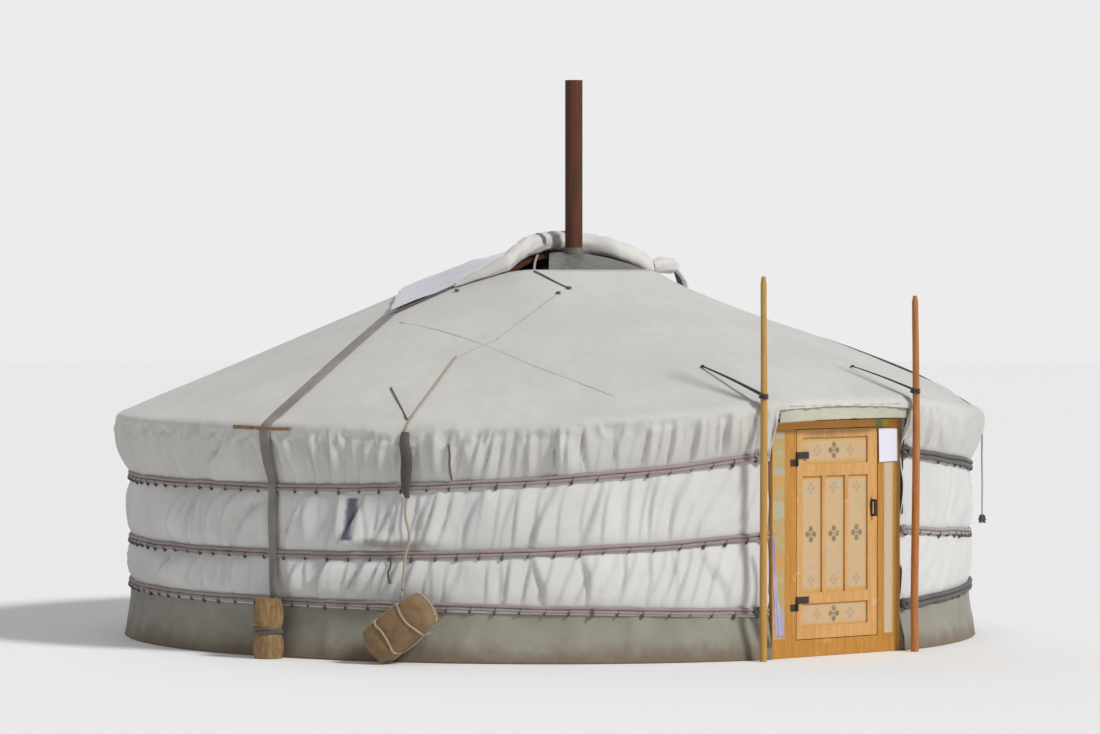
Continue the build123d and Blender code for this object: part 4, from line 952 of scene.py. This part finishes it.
def girth_rope(name, level_at, radius, seed, first, last, reach, finish, nodes):
    """Part of a girth: two hair ropes side by side, and the small knots that hang at their lower edge."""

    def level(angle):
        return level_at(angle) + 0.006 * lumps(angle, seed, 0.35, 1, 0, 70 + seed)

    def strand(side, angle):
        z = level(angle) + side * reach + 0.0025 * lumps(angle, side, 0.1, 1, 0, 77)
        return polar(radius + reach, angle, z)

    lines = table((-1, 1), values(first, last, int((last - first) / 0.44)), strand)
    strands = [tube("strand", line, round_outline(reach * 0.98), from_axis) for line in lines]
    place(joined(f"girth_rope_{name}_hair", strands), finish, "hair_rope", nodes)
    ties = []
    angle = first + 1.2
    while angle < last - 1:
        size = 0.75 + 0.5 * lumps(angle, 1, 0.1, 1, 0, 83)

        def at(turn):
            up = 0.024 * size * sin(turn) - 0.016
            return polar(radius + 0.014 + 0.012 * cos(turn), angle + 0.14 * sin(turn), level(angle) + up)

        def outline(share):
            """A tie is thicker at its lower side, where it is knotted."""
            thickness = (0.0045 + 0.0080 * hill(share, 0.75, 0.17)) * size
            return oval(thickness, thickness, 6)

        ties.append(loop(at, outline, 8))
        angle += 2.2 + 1.9 * (0.5 + 0.5 * lumps(angle, 0, 0.3, 1, 0, 80 + seed))
    place(joined(f"girth_rope_{name}_knots", ties), "knot_rope", "hair_rope")


def girth_ropes():
    """Three girths, which are darker on the right of the door."""
    right, left = DOOR_HALF + 0.1, 360 - DOOR_HALF - 0.1
    for name, level_at, radius, seed, finish, wide in (
        ("upper", upper_rope, VALANCE_OUTSIDE, 1.0, "dark_rope", 1.3),
        ("middle", middle_rope, WALL_OUTSIDE, 2.0, "pale_rope", 1.0),
        ("lower", lower_rope, WALL_OUTSIDE, 3.0, "dark_rope", 1.3),
    ):
        girth_rope(name, level_at, radius, seed, 95, left, GIRTH_REACH, "hair_rope", [f"girth_rope_{name}"])
        girth_rope(f"{name}_right", level_at, radius, seed, right, 95, GIRTH_REACH * wide, finish, [])


def along_stops(stops, value):
    """The two stops that a value lies between, and its share of the way from one to the other."""
    for low, high in zip(stops, stops[1:]):
        if value <= high[0]:
            break
    return low, high, (value - low[0]) / (high[0] - low[0])


def cover_line(radius):
    """Height that the crown cloth lies at: hub, spokes, rim and then roof."""
    stops = [(0.0, 2.6382), (0.11, 2.6382), (0.4057, 2.5838), (0.5597, 2.5398), (0.6997, 2.4862)]
    stops += [(0.785, canvas_top(0.785)), (3.0, canvas_top(3.0))]
    (_, low), (_, high), share = along_stops(stops, radius)
    return low + (high - low) * share


def roll_line(x):
    """How far back the roll's middle lies: it runs forwards to the left, then back to the cloth's edge."""
    forwards = -0.025 + 0.25 * min(0.0, max(x, -0.64)) / 0.64
    return forwards - 0.62 * min(0.0, x + 0.64)


def roll_middle(x):
    """Middle and radius of the rolled fold at x."""
    points = []
    for stop, share, above in ROLL_STOPS:
        reach = ROLL_RADIUS * share
        points.append((stop, cover_line(hypot(stop, roll_line(stop))) + above / 1000 + 0.924 * reach, reach))
    (_, z0, r0), (_, z1, r1), even = along_stops(points, x)
    share = 0.5 * even + 0.5 * ease(0, 1, even)
    return Vector((x, roll_line(x), z0 + (z1 - z0) * share)), r0 + (r1 - r0) * share


def crown_cloth():
    """Crown cover pulled back from the front: it lies over the rear spokes and down the roof."""
    columns, levels = 150, 64

    def point(x, level):
        back = 1.44 + 1.0006 * x if x < 0 else 1.44 - 1.2313 * x
        front = roll_line(x) + 0.07 if x >= -0.62 else -0.08 - (0.344 if x < -0.9 else 0.42) * (x + 0.9)
        y = front + (max(back, front + 0.002) - front) * level / levels
        radius, turn = hypot(x, y), atan2(x, -y)
        fold = ridges(degrees(turn), radius, 0.9, 0.7, 0.0, 9.0)
        swirl = max(0.0, 1 - 2.2 * abs(rough(x * 3.4 + y * 2.4, y * 1.1 - x * 1.4, 9)))
        sag = 0.020 * abs(cos(4 * turn)) * hill(radius, 0.42, 0.17)
        return Vector((x, y, cover_line(radius) + 0.006 + 0.018 * swirl + 0.010 * fold - sag))

    rows = table([-1.357 + 2.473 * column / columns for column in range(columns + 1)], range(levels + 1), point)
    across, along = values(0, 1.5, levels), values(0, 2.5, columns)
    made = cloth("crown_cloth", rows, across, along, 0.004, "cover", "cover_cloth", ["crown_cover"])


def crown_roll():
    """The rolled front of the crown cover, from the left rim over the hub to its tied end."""
    steps, corners = 200, 32
    rows = []
    for x in [ROLL_STOPS[0][0] + ROLL_LENGTH * step / steps for step in range(steps + 1)]:
        middle, reach = roll_middle(x)
        row = []
        for turn in values(0, 2 * pi, corners)[:-1]:
            twist = turn + 2.6 * x
            crease = rough(x * 2.2, cos(twist) * 1.7, sin(twist) * 1.7)
            fine = rough(x * 9, cos(twist) * 3, sin(twist) * 3 + 5)
            size = reach * (1 + 0.13 * max(0.0, 1 - 3 * abs(crease)) + 0.05 * fine - 0.05)
            size *= 1 - 0.35 * hill(x, ROLL_TIE, 0.012)
            lip = 0.17 * ease(0.22, 0.42, x) * (1 - ease(0.72, 0.85, x)) * max(0.0, cos(turn - 3.42)) ** 3
            point = middle + Vector((0, (size + lip) * cos(turn), (size + lip) * sin(turn)))
            if point.y < -0.10:
                point.z = max(point.z, cover_line(hypot(point.x, point.y)) + 0.012)
            row.append(point)
        rows.append(row)
    across = [0.013 * corner for corner in range(corners + 1)]
    made = grid("crown_roll", rows, across, lengths([row[0] for row in rows]), True)
    place(smooth(outwards(made, corners)), "roll", "cover_cloth")
    middle, reach = roll_middle(ROLL_TIE)
    size = reach * 0.86
    ties = [
        loop(lambda turn: middle + Vector((away, size * cos(turn), size * sin(turn))), round_outline(0.007))
        for away in (-0.008, 0.007)
    ]
    for far_x, far_y in ((0.93, -0.12), (1.02, -0.10)):
        start = middle + Vector((0, -reach * 0.8, -0.01))
        end = Vector((far_x, far_y, cover_line(hypot(far_x, far_y)) + 0.006))
        knee = (start + end) / 2 + Vector((0.01, -0.02, -0.02))
        ties.append(tube("tail", smooth_line([start, knee, end], 8), round_outline(0.006, 6)))
    place(joined("crown_roll_tie", ties), "dark_rope", "dark_strap")
    route = [roll_middle(1.13)[0]]
    route += [Vector((1.19, -0.06, 2.46)), Vector((1.22, -0.07, 2.36)), Vector((1.26, -0.08, 2.262))]

    def outline(share):
        return oval(0.034 * (1 - 0.5 * share), 0.018 * (1 - 0.4 * share))

    tail = place(tube("crown_roll_tail", smooth_line(route, 8), outline), "cover", "cover_cloth")


def roof_point(radius, angle, above=0.0):
    """Place on the roof cloth."""
    share = max(0.0, (radius - CROWN_EDGE) / (TURN_START - CROWN_EDGE))
    z = canvas_top(radius) + swell(radius, angle) + eave_lift(angle) * min(1.0, share)
    if radius > TURN_START:
        z -= 0.3 * (radius - SHOULDER + 0.02)
    return polar(radius, angle, z + above)


def roof_line(start, end, count, above):
    """Places on the roof cloth, straight in plan from one (radius, angle) to another."""
    first, last = polar(*start, 0), polar(*end, 0)
    points = [first + (last - first) * (step / count) for step in range(count + 1)]
    return [roof_point(hypot(point.x, point.y), degrees(atan2(point.x, -point.y)), above) for point in points]


def tie_ropes():
    """The flat ropes from the crown cloth's corners: to the stake, to the right eave and to the rear girth."""
    a = STRAP_ANGLE
    route = roof_line((1.375, -93.3), (2.90, a), 5, 0.008)
    route += polars((2.968, a, 1.515), (3.004, a, 1.470), (2.990, a, 1.36), (2.945, a, 1.2))
    route += polars((ROPE_OUTSIDE + 0.010, a, upper_rope(a) + 0.03), (ROPE_OUTSIDE + 0.026, a, 0.92))
    route += polars((ROPE_OUTSIDE + 0.008, a, 0.68), (ROPE_OUTSIDE + 0.012, a, 0.5))
    route += polars((FEET_OUTSIDE + 0.045, STAKE_ANGLE, 0.396))
    line = smooth_line(route, 8)
    left = band("tie_strap_left", line, 0.088, 0.009, lambda share: 1 - 0.25 * ease(0.6, 0.75, share))
    a = RIGHT_ROPE_ANGLE
    start = roll_middle(1.15)[0]
    route = [start + Vector((0, 0, -0.02)), Vector((1.19, -0.03, 2.40)), Vector((1.24, -0.045, 2.285))]
    route += roof_line((1.32, 86.0), (2.90, a), 6, 0.010) + polars((2.975, a, 1.520), (3.002, a, 1.478))
    right = band("tie_rope_right", smooth_line(route, 8), 0.045, 0.016)
    a = REAR_STRAP_ANGLE
    route = roof_line((1.452, 180.0), (2.90, a), 4, 0.008)
    route += polars((2.970, a, 1.523), (3.010, a, 1.474), (2.990, a, 1.36), (2.945, a, 1.2))
    route += polars((ROPE_OUTSIDE + 0.010, a, 1.125), (ROPE_OUTSIDE + 0.008, a, 1.05))
    rear = band("tie_strap_rear", smooth_line(route, 8), 0.06, 0.009)
    place(left, "strap", "dark_strap", ["tie_ropes"])
    place(right, "olive_rope", "dark_strap")
    place(rear, "strap", "dark_strap")


def post(name, corners, radius, height, levels, shape):
    """Round post, cut at levels, with its corners moved to shape(corner, turn)."""
    bpy.ops.object.select_all(action="DESELECT")
    bpy.ops.mesh.primitive_cylinder_add(vertices=corners, radius=radius, depth=height, location=(0, 0, height / 2))
    made = bpy.context.active_object
    bpy.ops.object.transform_apply(location=True, rotation=True, scale=True)
    with editing(made) as work:
        for level in levels:
            parts = work.verts[:] + work.edges[:] + work.faces[:]
            bmesh.ops.bisect_plane(work, geom=parts, plane_co=(0, 0, level), plane_no=(0, 0, 1))
        for vertex in work.verts:
            vertex.co = shape(vertex.co, atan2(vertex.co.y, vertex.co.x))
    made.name = name
    select(made)
    bpy.ops.object.shade_smooth_by_angle(angle=radians(50))
    return made


def stakes():
    """The short log on the left, with a waist and two turns of rope."""
    middle = polar(FEET_OUTSIDE + 0.0003 + LOG_RADIUS, STAKE_ANGLE, 0)

    def shape(corner, turn):
        x, y, z = corner
        waist = 1 - 0.17 * hill(z, 0.175, 0.045) - 0.16 * ease(0.3, LOG_HEIGHT, z) - 0.08 * (1 - ease(0, 0.06, z))
        bark = rough(cos(turn) * 3.2, sin(turn) * 3.2, z * 5 + STAKE_ANGLE)
        furrow = abs(rough(cos(turn) * 9, sin(turn) * 9, z * 2.5 + STAKE_ANGLE))
        size = waist * (1 + 0.05 * bark - 0.05 * furrow) * 0.985
        if z > LOG_HEIGHT - 0.001:
            z += 0.004 * rough(turn * 2, 1, STAKE_ANGLE) - 0.004
        return Vector((x * size, y * size, z)) + middle

    levels = [0.012 * step for step in range(1, 32)]
    made = post("tie_stake_log", 28, LOG_RADIUS, LOG_HEIGHT, levels, shape)
    place(made, "stump", "stump_wood", ["tie_stake"])
    rings = [
        ring(middle + Vector((0, 0, level)), 0.09, 0.09, 0.008, lag=level * 60, steps=30)
        for level in (0.165, 0.186)
    ]
    place(joined("stake_rope_turns", rings), "dark_rope", "dark_strap")


def eave_stick():
    """The stick that the left flat rope turns over at the eave."""
    radius = CLOTH_EAVE + 0.010 + 0.014 + 0.0006
    points = []
    for share in values(0, 1, 24):
        z = EAVE_Z + 0.003 * sin(share * 5 + 1)
        points.append(polar(radius + 0.0015 * sin(share * 9), STRAP_ANGLE, z, -0.243 + 0.486 * share))
    made = tube("eave_stick_wood", points, lambda share: round_outline(0.0135 - 0.0025 * share, 12)(share))
    place(made, "stump", "weathered_pole", ["eave_stick"])


def ballast():
    """Tied bundle that hangs on its rope at the front left and rests on the ground."""
    low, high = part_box("ballast_bundle")
    middle = (Vector(low) + Vector(high)) / 2
    lean = Matrix.Rotation(radians(BALLAST_ANGLE), 3, "Z") @ Matrix.Rotation(-radians(BUNDLE_TILT), 3, "Y")
    bpy.ops.object.select_all(action="DESELECT")
    bpy.ops.mesh.primitive_cube_add(size=1.0, location=(0, 0, 0))
    made = bpy.context.active_object
    shaped(made, "SUBSURF", levels=5, render_levels=5, subdivision_type="SIMPLE")

    def skin(x, y, z, above=0.0):
        """Place on the bundle in a direction, or above it."""
        unit = Vector((x, y, z)).normalized()
        power = 4.5
        reach = sum(abs(part) ** power for part in unit) ** (-1 / power)
        p = Vector((unit.x * reach * 0.247, unit.y * reach * 0.132, unit.z * reach * 0.132))
        squeeze = 1 - 0.05 * hill(p.x, -0.09, 0.03) - 0.05 * hill(p.x, 0.1, 0.03)
        lump = 1 - 0.06 * abs(noise.noise(p * 9)) - 0.035 * abs(noise.noise(p * 24 + Vector((3, 1, 2))))
        return middle + lean @ (Vector((p.x * lump, p.y * lump * squeeze, p.z * lump * squeeze)) + unit * above)

    for vertex in made.data.vertices:
        vertex.co = skin(*vertex.co)
    made.name = "ballast_sack"
    place(smooth(made), "sack", "bundle_cloth", ["ballast_bundle"])
    outline = round_outline(0.0075)
    ropes = []
    for across, slant in ((-0.36, 0.02), (0.4, -0.05)):
        ropes.append(loop(lambda t: skin(across * 0.9 + slant * sin(t), cos(t), sin(t), 0.004), outline, 48))
    ropes.append(loop(lambda t: skin(cos(t), 0.12 * sin(t * 2), sin(t), 0.005), outline, 64))
    place(joined("ballast_lashing", ropes), "light_rope", "light_rope")


def ballast_stay():
    """Rope from the roof over the eave and down to the bundle, rolled in a dark strap at the valance."""
    a = BALLAST_ANGLE
    line = [roof_point(2.0, a, 0.006), roof_point(2.4, a, 0.007), roof_point(2.75, a, 0.008)]
    line += polars((2.93, a, 1.545), (2.990, a, 1.480), (3.004, a, 1.42), (2.972, a, 1.25), (2.93, a, 1.1))
    line += polars((2.945, a - 0.5, 0.95), (2.955, a + 0.5, 0.8), (2.98, a - 0.2, 0.68))
    line += polars((3.03, a, 0.5), (3.075, a, 0.425))
    made = tube("ballast_stay", smooth_line(line, 8), round_outline(0.008))
    place(made, "light_rope", "light_rope", ["ballast_rope"])
    line = polars((2.985, a, 1.475), (3.006, a - 0.15, 1.42), (2.992, a + 0.25, 1.32))
    line += polars((2.965, a - 0.1, 1.20), (2.938, a - 0.35, 1.10), (2.935, a - 0.1, 1.05))

    def outline(share):
        reach = 0.040 * (0.35 + 0.65 * sin(pi * min(1.0, 0.12 + share * 0.88)) ** 0.7)
        return oval(reach, 0.5 * reach)

    rolled = tube("ballast_strap", smooth_line(line, 12), outline, from_axis)
    place(rolled, "dark_cloth", "dark_strap")


def pole_middle(angle, radius):
    return polar(CLOTH_EAVE + 0.016 + radius, angle, 0)


def door_pole(side, lean, nodes=()):
    angle, radius, top = POLES[side]
    middle = pole_middle(angle, radius)

    def shape(corner, turn):
        x, y, z = corner
        uneven = rough(cos(turn) * 2, sin(turn) * 2, z * 4 + angle)
        size = 1 - 0.2 * ease(0.4, 1.0, z / top) + 0.05 * uneven
        size *= 1 - 0.35 * ease(top - 0.03, top, z)
        sway = 0.006 * sin(z * 2.1 + angle) * ease(0, 0.5, z)
        return Vector((x * size * 0.96 + sway, y * size * 0.96 + sway * lean, z)) + middle

    made = post(f"door_pole_{side}", 20, radius, top, [top * step / 50 for step in range(1, 50)], shape)
    place(made, f"pole_{side}", "weathered_pole", nodes)


def door_poles():
    """The two tall poles beside the door, each tied to a rope on the roof."""
    door_pole("left", 0.5, ["door_poles"])
    door_pole("right", -0.6)
    straps = []
    for side, start, turn_at, width in (("left", 2.38, -16.3, 0.022), ("right", 2.46, 14.0, 0.014)):
        angle, radius, _ = POLES[side]
        middle = pole_middle(angle, radius)
        level = canvas_top(2.96) + eave_lift(angle) * 2.26 / 2.226 + 0.042
        far = roof_point(start, turn_at, 0.016)
        near = middle + Vector((0, 0, level))
        span = [far + (near - far) * s + Vector((0, 0, 0.006 * sin(pi * s))) for s in values(0, 1, 14)]
        straps.append(tube("run", span, lambda share: round_outline(width * (0.25 + 0.3 * share))(share)))
        for up in (-0.012, 0.006):
            straps.append(ring(near + Vector((0, 0, up)), radius, radius, 0.004))
        straps.append(ring(far, 0.009, 0.011, 0.004, 2, thickness=0.006))
    place(joined("pole_strap_ropes", straps), "black_rope", "dark_strap", ["pole_straps"])


def head_cloth():
    """Strip of cloth that hangs inside the eave's lip over the door, with an arched lower edge."""
    steps, levels = 90, 10

    def point(angle, share):
        low = 1.542 - (0.019 if angle < 0 else 0.006) * (angle / 11.2) ** 2
        low += 0.003 * rough(angle * 0.7, 1, 4)
        wave = 0.010 * rough(angle * 0.45, share * 0.6, 7) * share
        return polar(min(2.985, 2.982 - 0.008 * share + wave), angle, 1.628 + (low - 1.628) * share)

    angles = [-11.15 + 22.3 * step / steps for step in range(steps + 1)]
    rows = table(angles, values(0, 1, levels), point)
    across, along = [0.01 * level for level in range(levels + 1)], values(0, 1.16, steps)
    made = cloth("head_cloth", rows, across, along, 0.003, "head", "cover_cloth", ["lintel_cloth"], 0.0)


def door_cheeks():
    """Cloth at each side of the door: up to the valance, and the turned edges of wall and skirt below it."""
    for side, way in (("left", -1.0), ("right", 1.0)):
        for part, low, high, inner, outer, wide, rests in (
            ("roof", 1.335, 1.603, 12.05, 11.80, 0.11, "roof_cloth"),
            ("wall", 0.31, 1.33, 11.66, 11.98, 0.026, "wall_cloth"),
            ("skirt", 0.004, 0.32, 11.66, 11.98, 0.045, f"skirt_cloth_{side}"),
        ):

            def point(z, share):
                flare = (1 - min(1.0, z / 0.27)) ** 1.4
                out = VALANCE_OUTSIDE + 0.094 * ease(1.30, 1.55, z) + 0.046 * flare
                wave = 0.1 * rough(share * 2, z * 9, way) * sin(pi * share)
                return polar(2.874 + (out - 2.874) * share, way * (inner + (outer - inner) * share + wave), z)

            rows = table(values(low, high, 40), values(0, 1, 8), point)
            across, along = values(0, wide, 8), values(0, high - low, 40)
            made = cloth(f"door_cheek_{side}_{part}", rows, across, along, 0.002, part, f"{part}_cloth", offset=0.0)


def door_knots():
    """The girths' knots beside the door, and the loose edge line of the wall cloth at its right."""
    for finish, knots in {
        "dark_rope": ((12.6, upper_rope, 0.030), (12.5, lower_rope, 0.024), (-13.6, lower_rope, 0.024)),
        "pale_rope": ((-13.4, upper_rope, 0.026), (-12.9, middle_rope, 0.018), (12.4, middle_rope, 0.020)),
    }.items():
        loops = []
        for angle, level_at, size in knots:
            for number in range(4):
                away = Vector((0.35 * size * cos(number * 2.4), 0, 0.3 * size * sin(number * 1.7)))
                middle = polar(2.918, angle, level_at(angle)) + away
                lean = Matrix.Rotation(number * 0.9, 3, "Y")

                def at(t):
                    flat = Vector((size * cos(t), 0.35 * size * sin(2 * t + number), size * 0.8 * sin(t)))
                    return middle + lean @ flat

                loops.append(loop(at, round_outline(0.0085, 7), 18))
        place(joined(f"door_knots_{finish[:4]}", loops), finish, "hair_rope")
    line = polars((2.962, 10.6, 1.60), (2.955, 11.6, 1.57), (2.925, 12.05, 1.46), (2.905, 12.2, 1.30))
    line += polars((2.903, 12.2, 1.1), (2.903, 12.2, 0.9))
    place(tube("cloth_edge_cord", smooth_line(line, 10), round_outline(0.006, 7)), "black_rope", "dark_strap")


def flat_plate(name, corners, depth, front, body, finish, slot):
    """Thin plate on the door's face, from its outline in x and z."""
    count = len(corners)
    faces = [tuple(range(count)), tuple(range(2 * count - 1, count - 1, -1))]
    for corner in range(count):
        after = (corner + 1) % count
        faces.append((corner, after, count + after, count + corner))
    made = linked(name, [(x, y, z) for y in (front, front + depth) for x, z in corners], faces)
    place(outwards(made), finish, slot, body=body)


def door_details():
    """The blank sheet pinned to the right post, and the lock's plate."""
    shares = values(0, 1, 12)
    corners = [(0.374 + 0.170 * s, 1.468 - 0.004 * s + 0.0015 * sin(s * 5)) for s in shares]
    corners += [(0.380 + 0.168 * s, 1.246 + 0.006 * s + 0.0015 * sin(s * 4)) for s in shares[::-1]]
    flat_plate("blank_sheet", corners, 0.0012, -2.8600, "ger", "paper", "cover_cloth")
    diamond = [(0.313, 1.024), (0.322, 0.990), (0.326, 0.965), (0.323, 0.930), (0.316, 0.893)]
    diamond += [(0.309, 0.902), (0.304, 0.935), (0.301, 0.962), (0.304, 0.990)]
    flat_plate("lock_plate", diamond, 0.0018, -2.8520, "door", "iron", "hinge_steel")


def scarf():
    """Violet cloth tied at the left pole's middle knot, hanging to just over the ground."""
    # Height, place in x, and width
    stops = [(0.80, -0.690, 0.016), (0.72, -0.676, 0.022), (0.60, -0.668, 0.026), (0.48, -0.662, 0.030)]
    stops += [(0.38, -0.652, 0.040), (0.30, -0.636, 0.062), (0.22, -0.622, 0.078), (0.15, -0.614, 0.070)]
    line = smooth_line([Vector((x, width, z)) for z, x, width in stops], 8)

    def fold(step, column):
        x, width, z = line[step]
        share = step / (len(line) - 1)
        aside = column / 16 - 0.5
        ripple = 0.006 * sin(aside * 13 + share * 5) * (0.4 + 0.6 * share)
        return Vector((x + aside * width, -2.972 + ripple + 0.012 * share, z))

    steps = range(len(line))
    across, along = [0.006 * column for column in range(17)], [0.65 * step / len(line) for step in steps]
    made = cloth("scarf", table(steps, range(17), fold), across, along, 0.0018, "scarf", "cover_cloth", offset=0.0)


def roof_cords():
    """Thin cords and a seam on the roof, and small cords on the wall, with their knots."""
    for finish, runs in CORDS_ON_ROOF.items():
        cords = []
        for start, end, reach in runs:
            line = smooth_line(roof_line(start, end, 6, 0.001 if finish == "seam" else reach * 0.8), 6)
            if finish == "seam":
                cords.append(band("cord", line, 0.014, 0.0018))
            else:
                cords.append(tube("cord", line, round_outline(reach, 6)))
        place(joined(f"roof_{finish}", cords), finish, "dark_strap")
    line = [polar(0.715, -49.5, 2.492), polar(0.50, -54.0, 2.55), Vector((-0.20, -0.105, 2.615))]
    edge = tube("smoke_hole_cord", smooth_line(line, 8), round_outline(0.009))
    place(edge, "pale_rope", "light_rope")
    cords = []
    for radius, angle, size in KNOTS_ON_ROOF:
        middle = roof_point(radius, angle, 0.008)
        for lean in (0.0, 1.2, 2.3):
            way = Matrix.Rotation(lean, 3, "Z") * size

            def point(turn):
                return middle + way @ Vector((0.8 * cos(turn), 0.6 * sin(turn), 0.3 * sin(2 * turn)))

            cords.append(loop(point, round_outline(0.005, 6)))
    for route in CORDS_ON_WALL:
        cords.append(tube("cord", smooth_line(polars(*route), 6), round_outline(0.007, 6), from_axis))
    place(joined("small_cords", cords), "knot_rope", "dark_strap")


CAD_FINISHES = {
    "frame_wood": [f"lattice_wall_{count}" for count in range(1, 6)] + ["roof_poles", "crown_posts"],
    # The crown ring and spokes get the dark wood with painted shade
    "crown_wood_painted_shade": ["crown_ring", "crown_spokes"],
    # The flue plate gets the grey with painted shade
    "plate": ["flue_plate"],
    "rust": ["flue_pipe"],
    "door": ["door_jamb_left", "door_jamb_right", "door_threshold"],
    "leaf": ["door_leaf"],
    "lintel": ["door_lintel"],
    "panel": ["door_panels"],
    "board": ["jamb_boards"],
    "iron": ["door_handle", "door_hinge_posts", "door_hinge_straps"],
}

free_strap()
wall_felts()
roof_felts()
roof_cloth()
wall_cloth()
skirt_cloths()
girth_ropes()
crown_cloth()
crown_roll()
tie_ropes()
stakes()
eave_stick()
ballast()
ballast_stay()
door_poles()
head_cloth()
door_cheeks()
door_knots()
door_details()
scarf()
roof_cords()
for finish, nodes in CAD_FINISHES.items():
    for node in nodes:
        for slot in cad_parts[node].material_slots:
            slot.material = finishes[finish].material


def studio():
    """Pale floor, three sun lamps and a light background."""
    bpy.ops.object.select_all(action="DESELECT")
    bpy.ops.mesh.primitive_circle_add(vertices=96, radius=90, fill_type="NGON", location=(0, 0, -0.002))
    floor = bpy.context.active_object
    floor.name = "floor"
    ground = Finish("pale floor", roughness=0.95, Base_Color=(0.94, 0.93, 0.92, 1), Specular_IOR_Level=0.1)
    floor.data.materials.append(ground.material)
    for name, angle, height, strength, size in (
        ("key", 12.0, 39.0, 2.35, 11.0),
        ("fill", -100.0, 35.0, 0.08, 60.0),
        ("back", 160.0, 40.0, 0.5, 50.0),
    ):
        data = bpy.data.lights.new(name, "SUN")
        data.energy = strength
        data.angle = radians(size)
        lamp = bpy.data.objects.new(name, data)
        bpy.context.scene.collection.objects.link(lamp)
        way = polar(cos(radians(height)), angle, sin(radians(height)))
        lamp.rotation_euler = (-way).to_track_quat("-Z", "Y").to_euler()
    world = bpy.data.worlds.new("studio")
    bpy.context.scene.world = world
    world.use_nodes = True
    tree = world.node_tree
    tree.nodes.clear()
    seen, mix, output = [tree.nodes.new(f"ShaderNode{kind}") for kind in ("LightPath", "MixShader", "OutputWorld")]
    tree.links.new(seen.outputs["Is Camera Ray"], mix.inputs[0])
    for place_in, colour, strength in ((1, (0.93, 0.96, 1.0, 1), 0.31), (2, (0.84, 0.84, 0.84, 1), 1.0)):
        light = tree.nodes.new("ShaderNodeBackground")
        light.inputs["Color"].default_value = colour
        light.inputs["Strength"].default_value = strength
        tree.links.new(light.outputs[0], mix.inputs[place_in])
    tree.links.new(mix.outputs[0], output.inputs[0])


studio()
bpy.context.scene.view_settings.view_transform = "Standard"
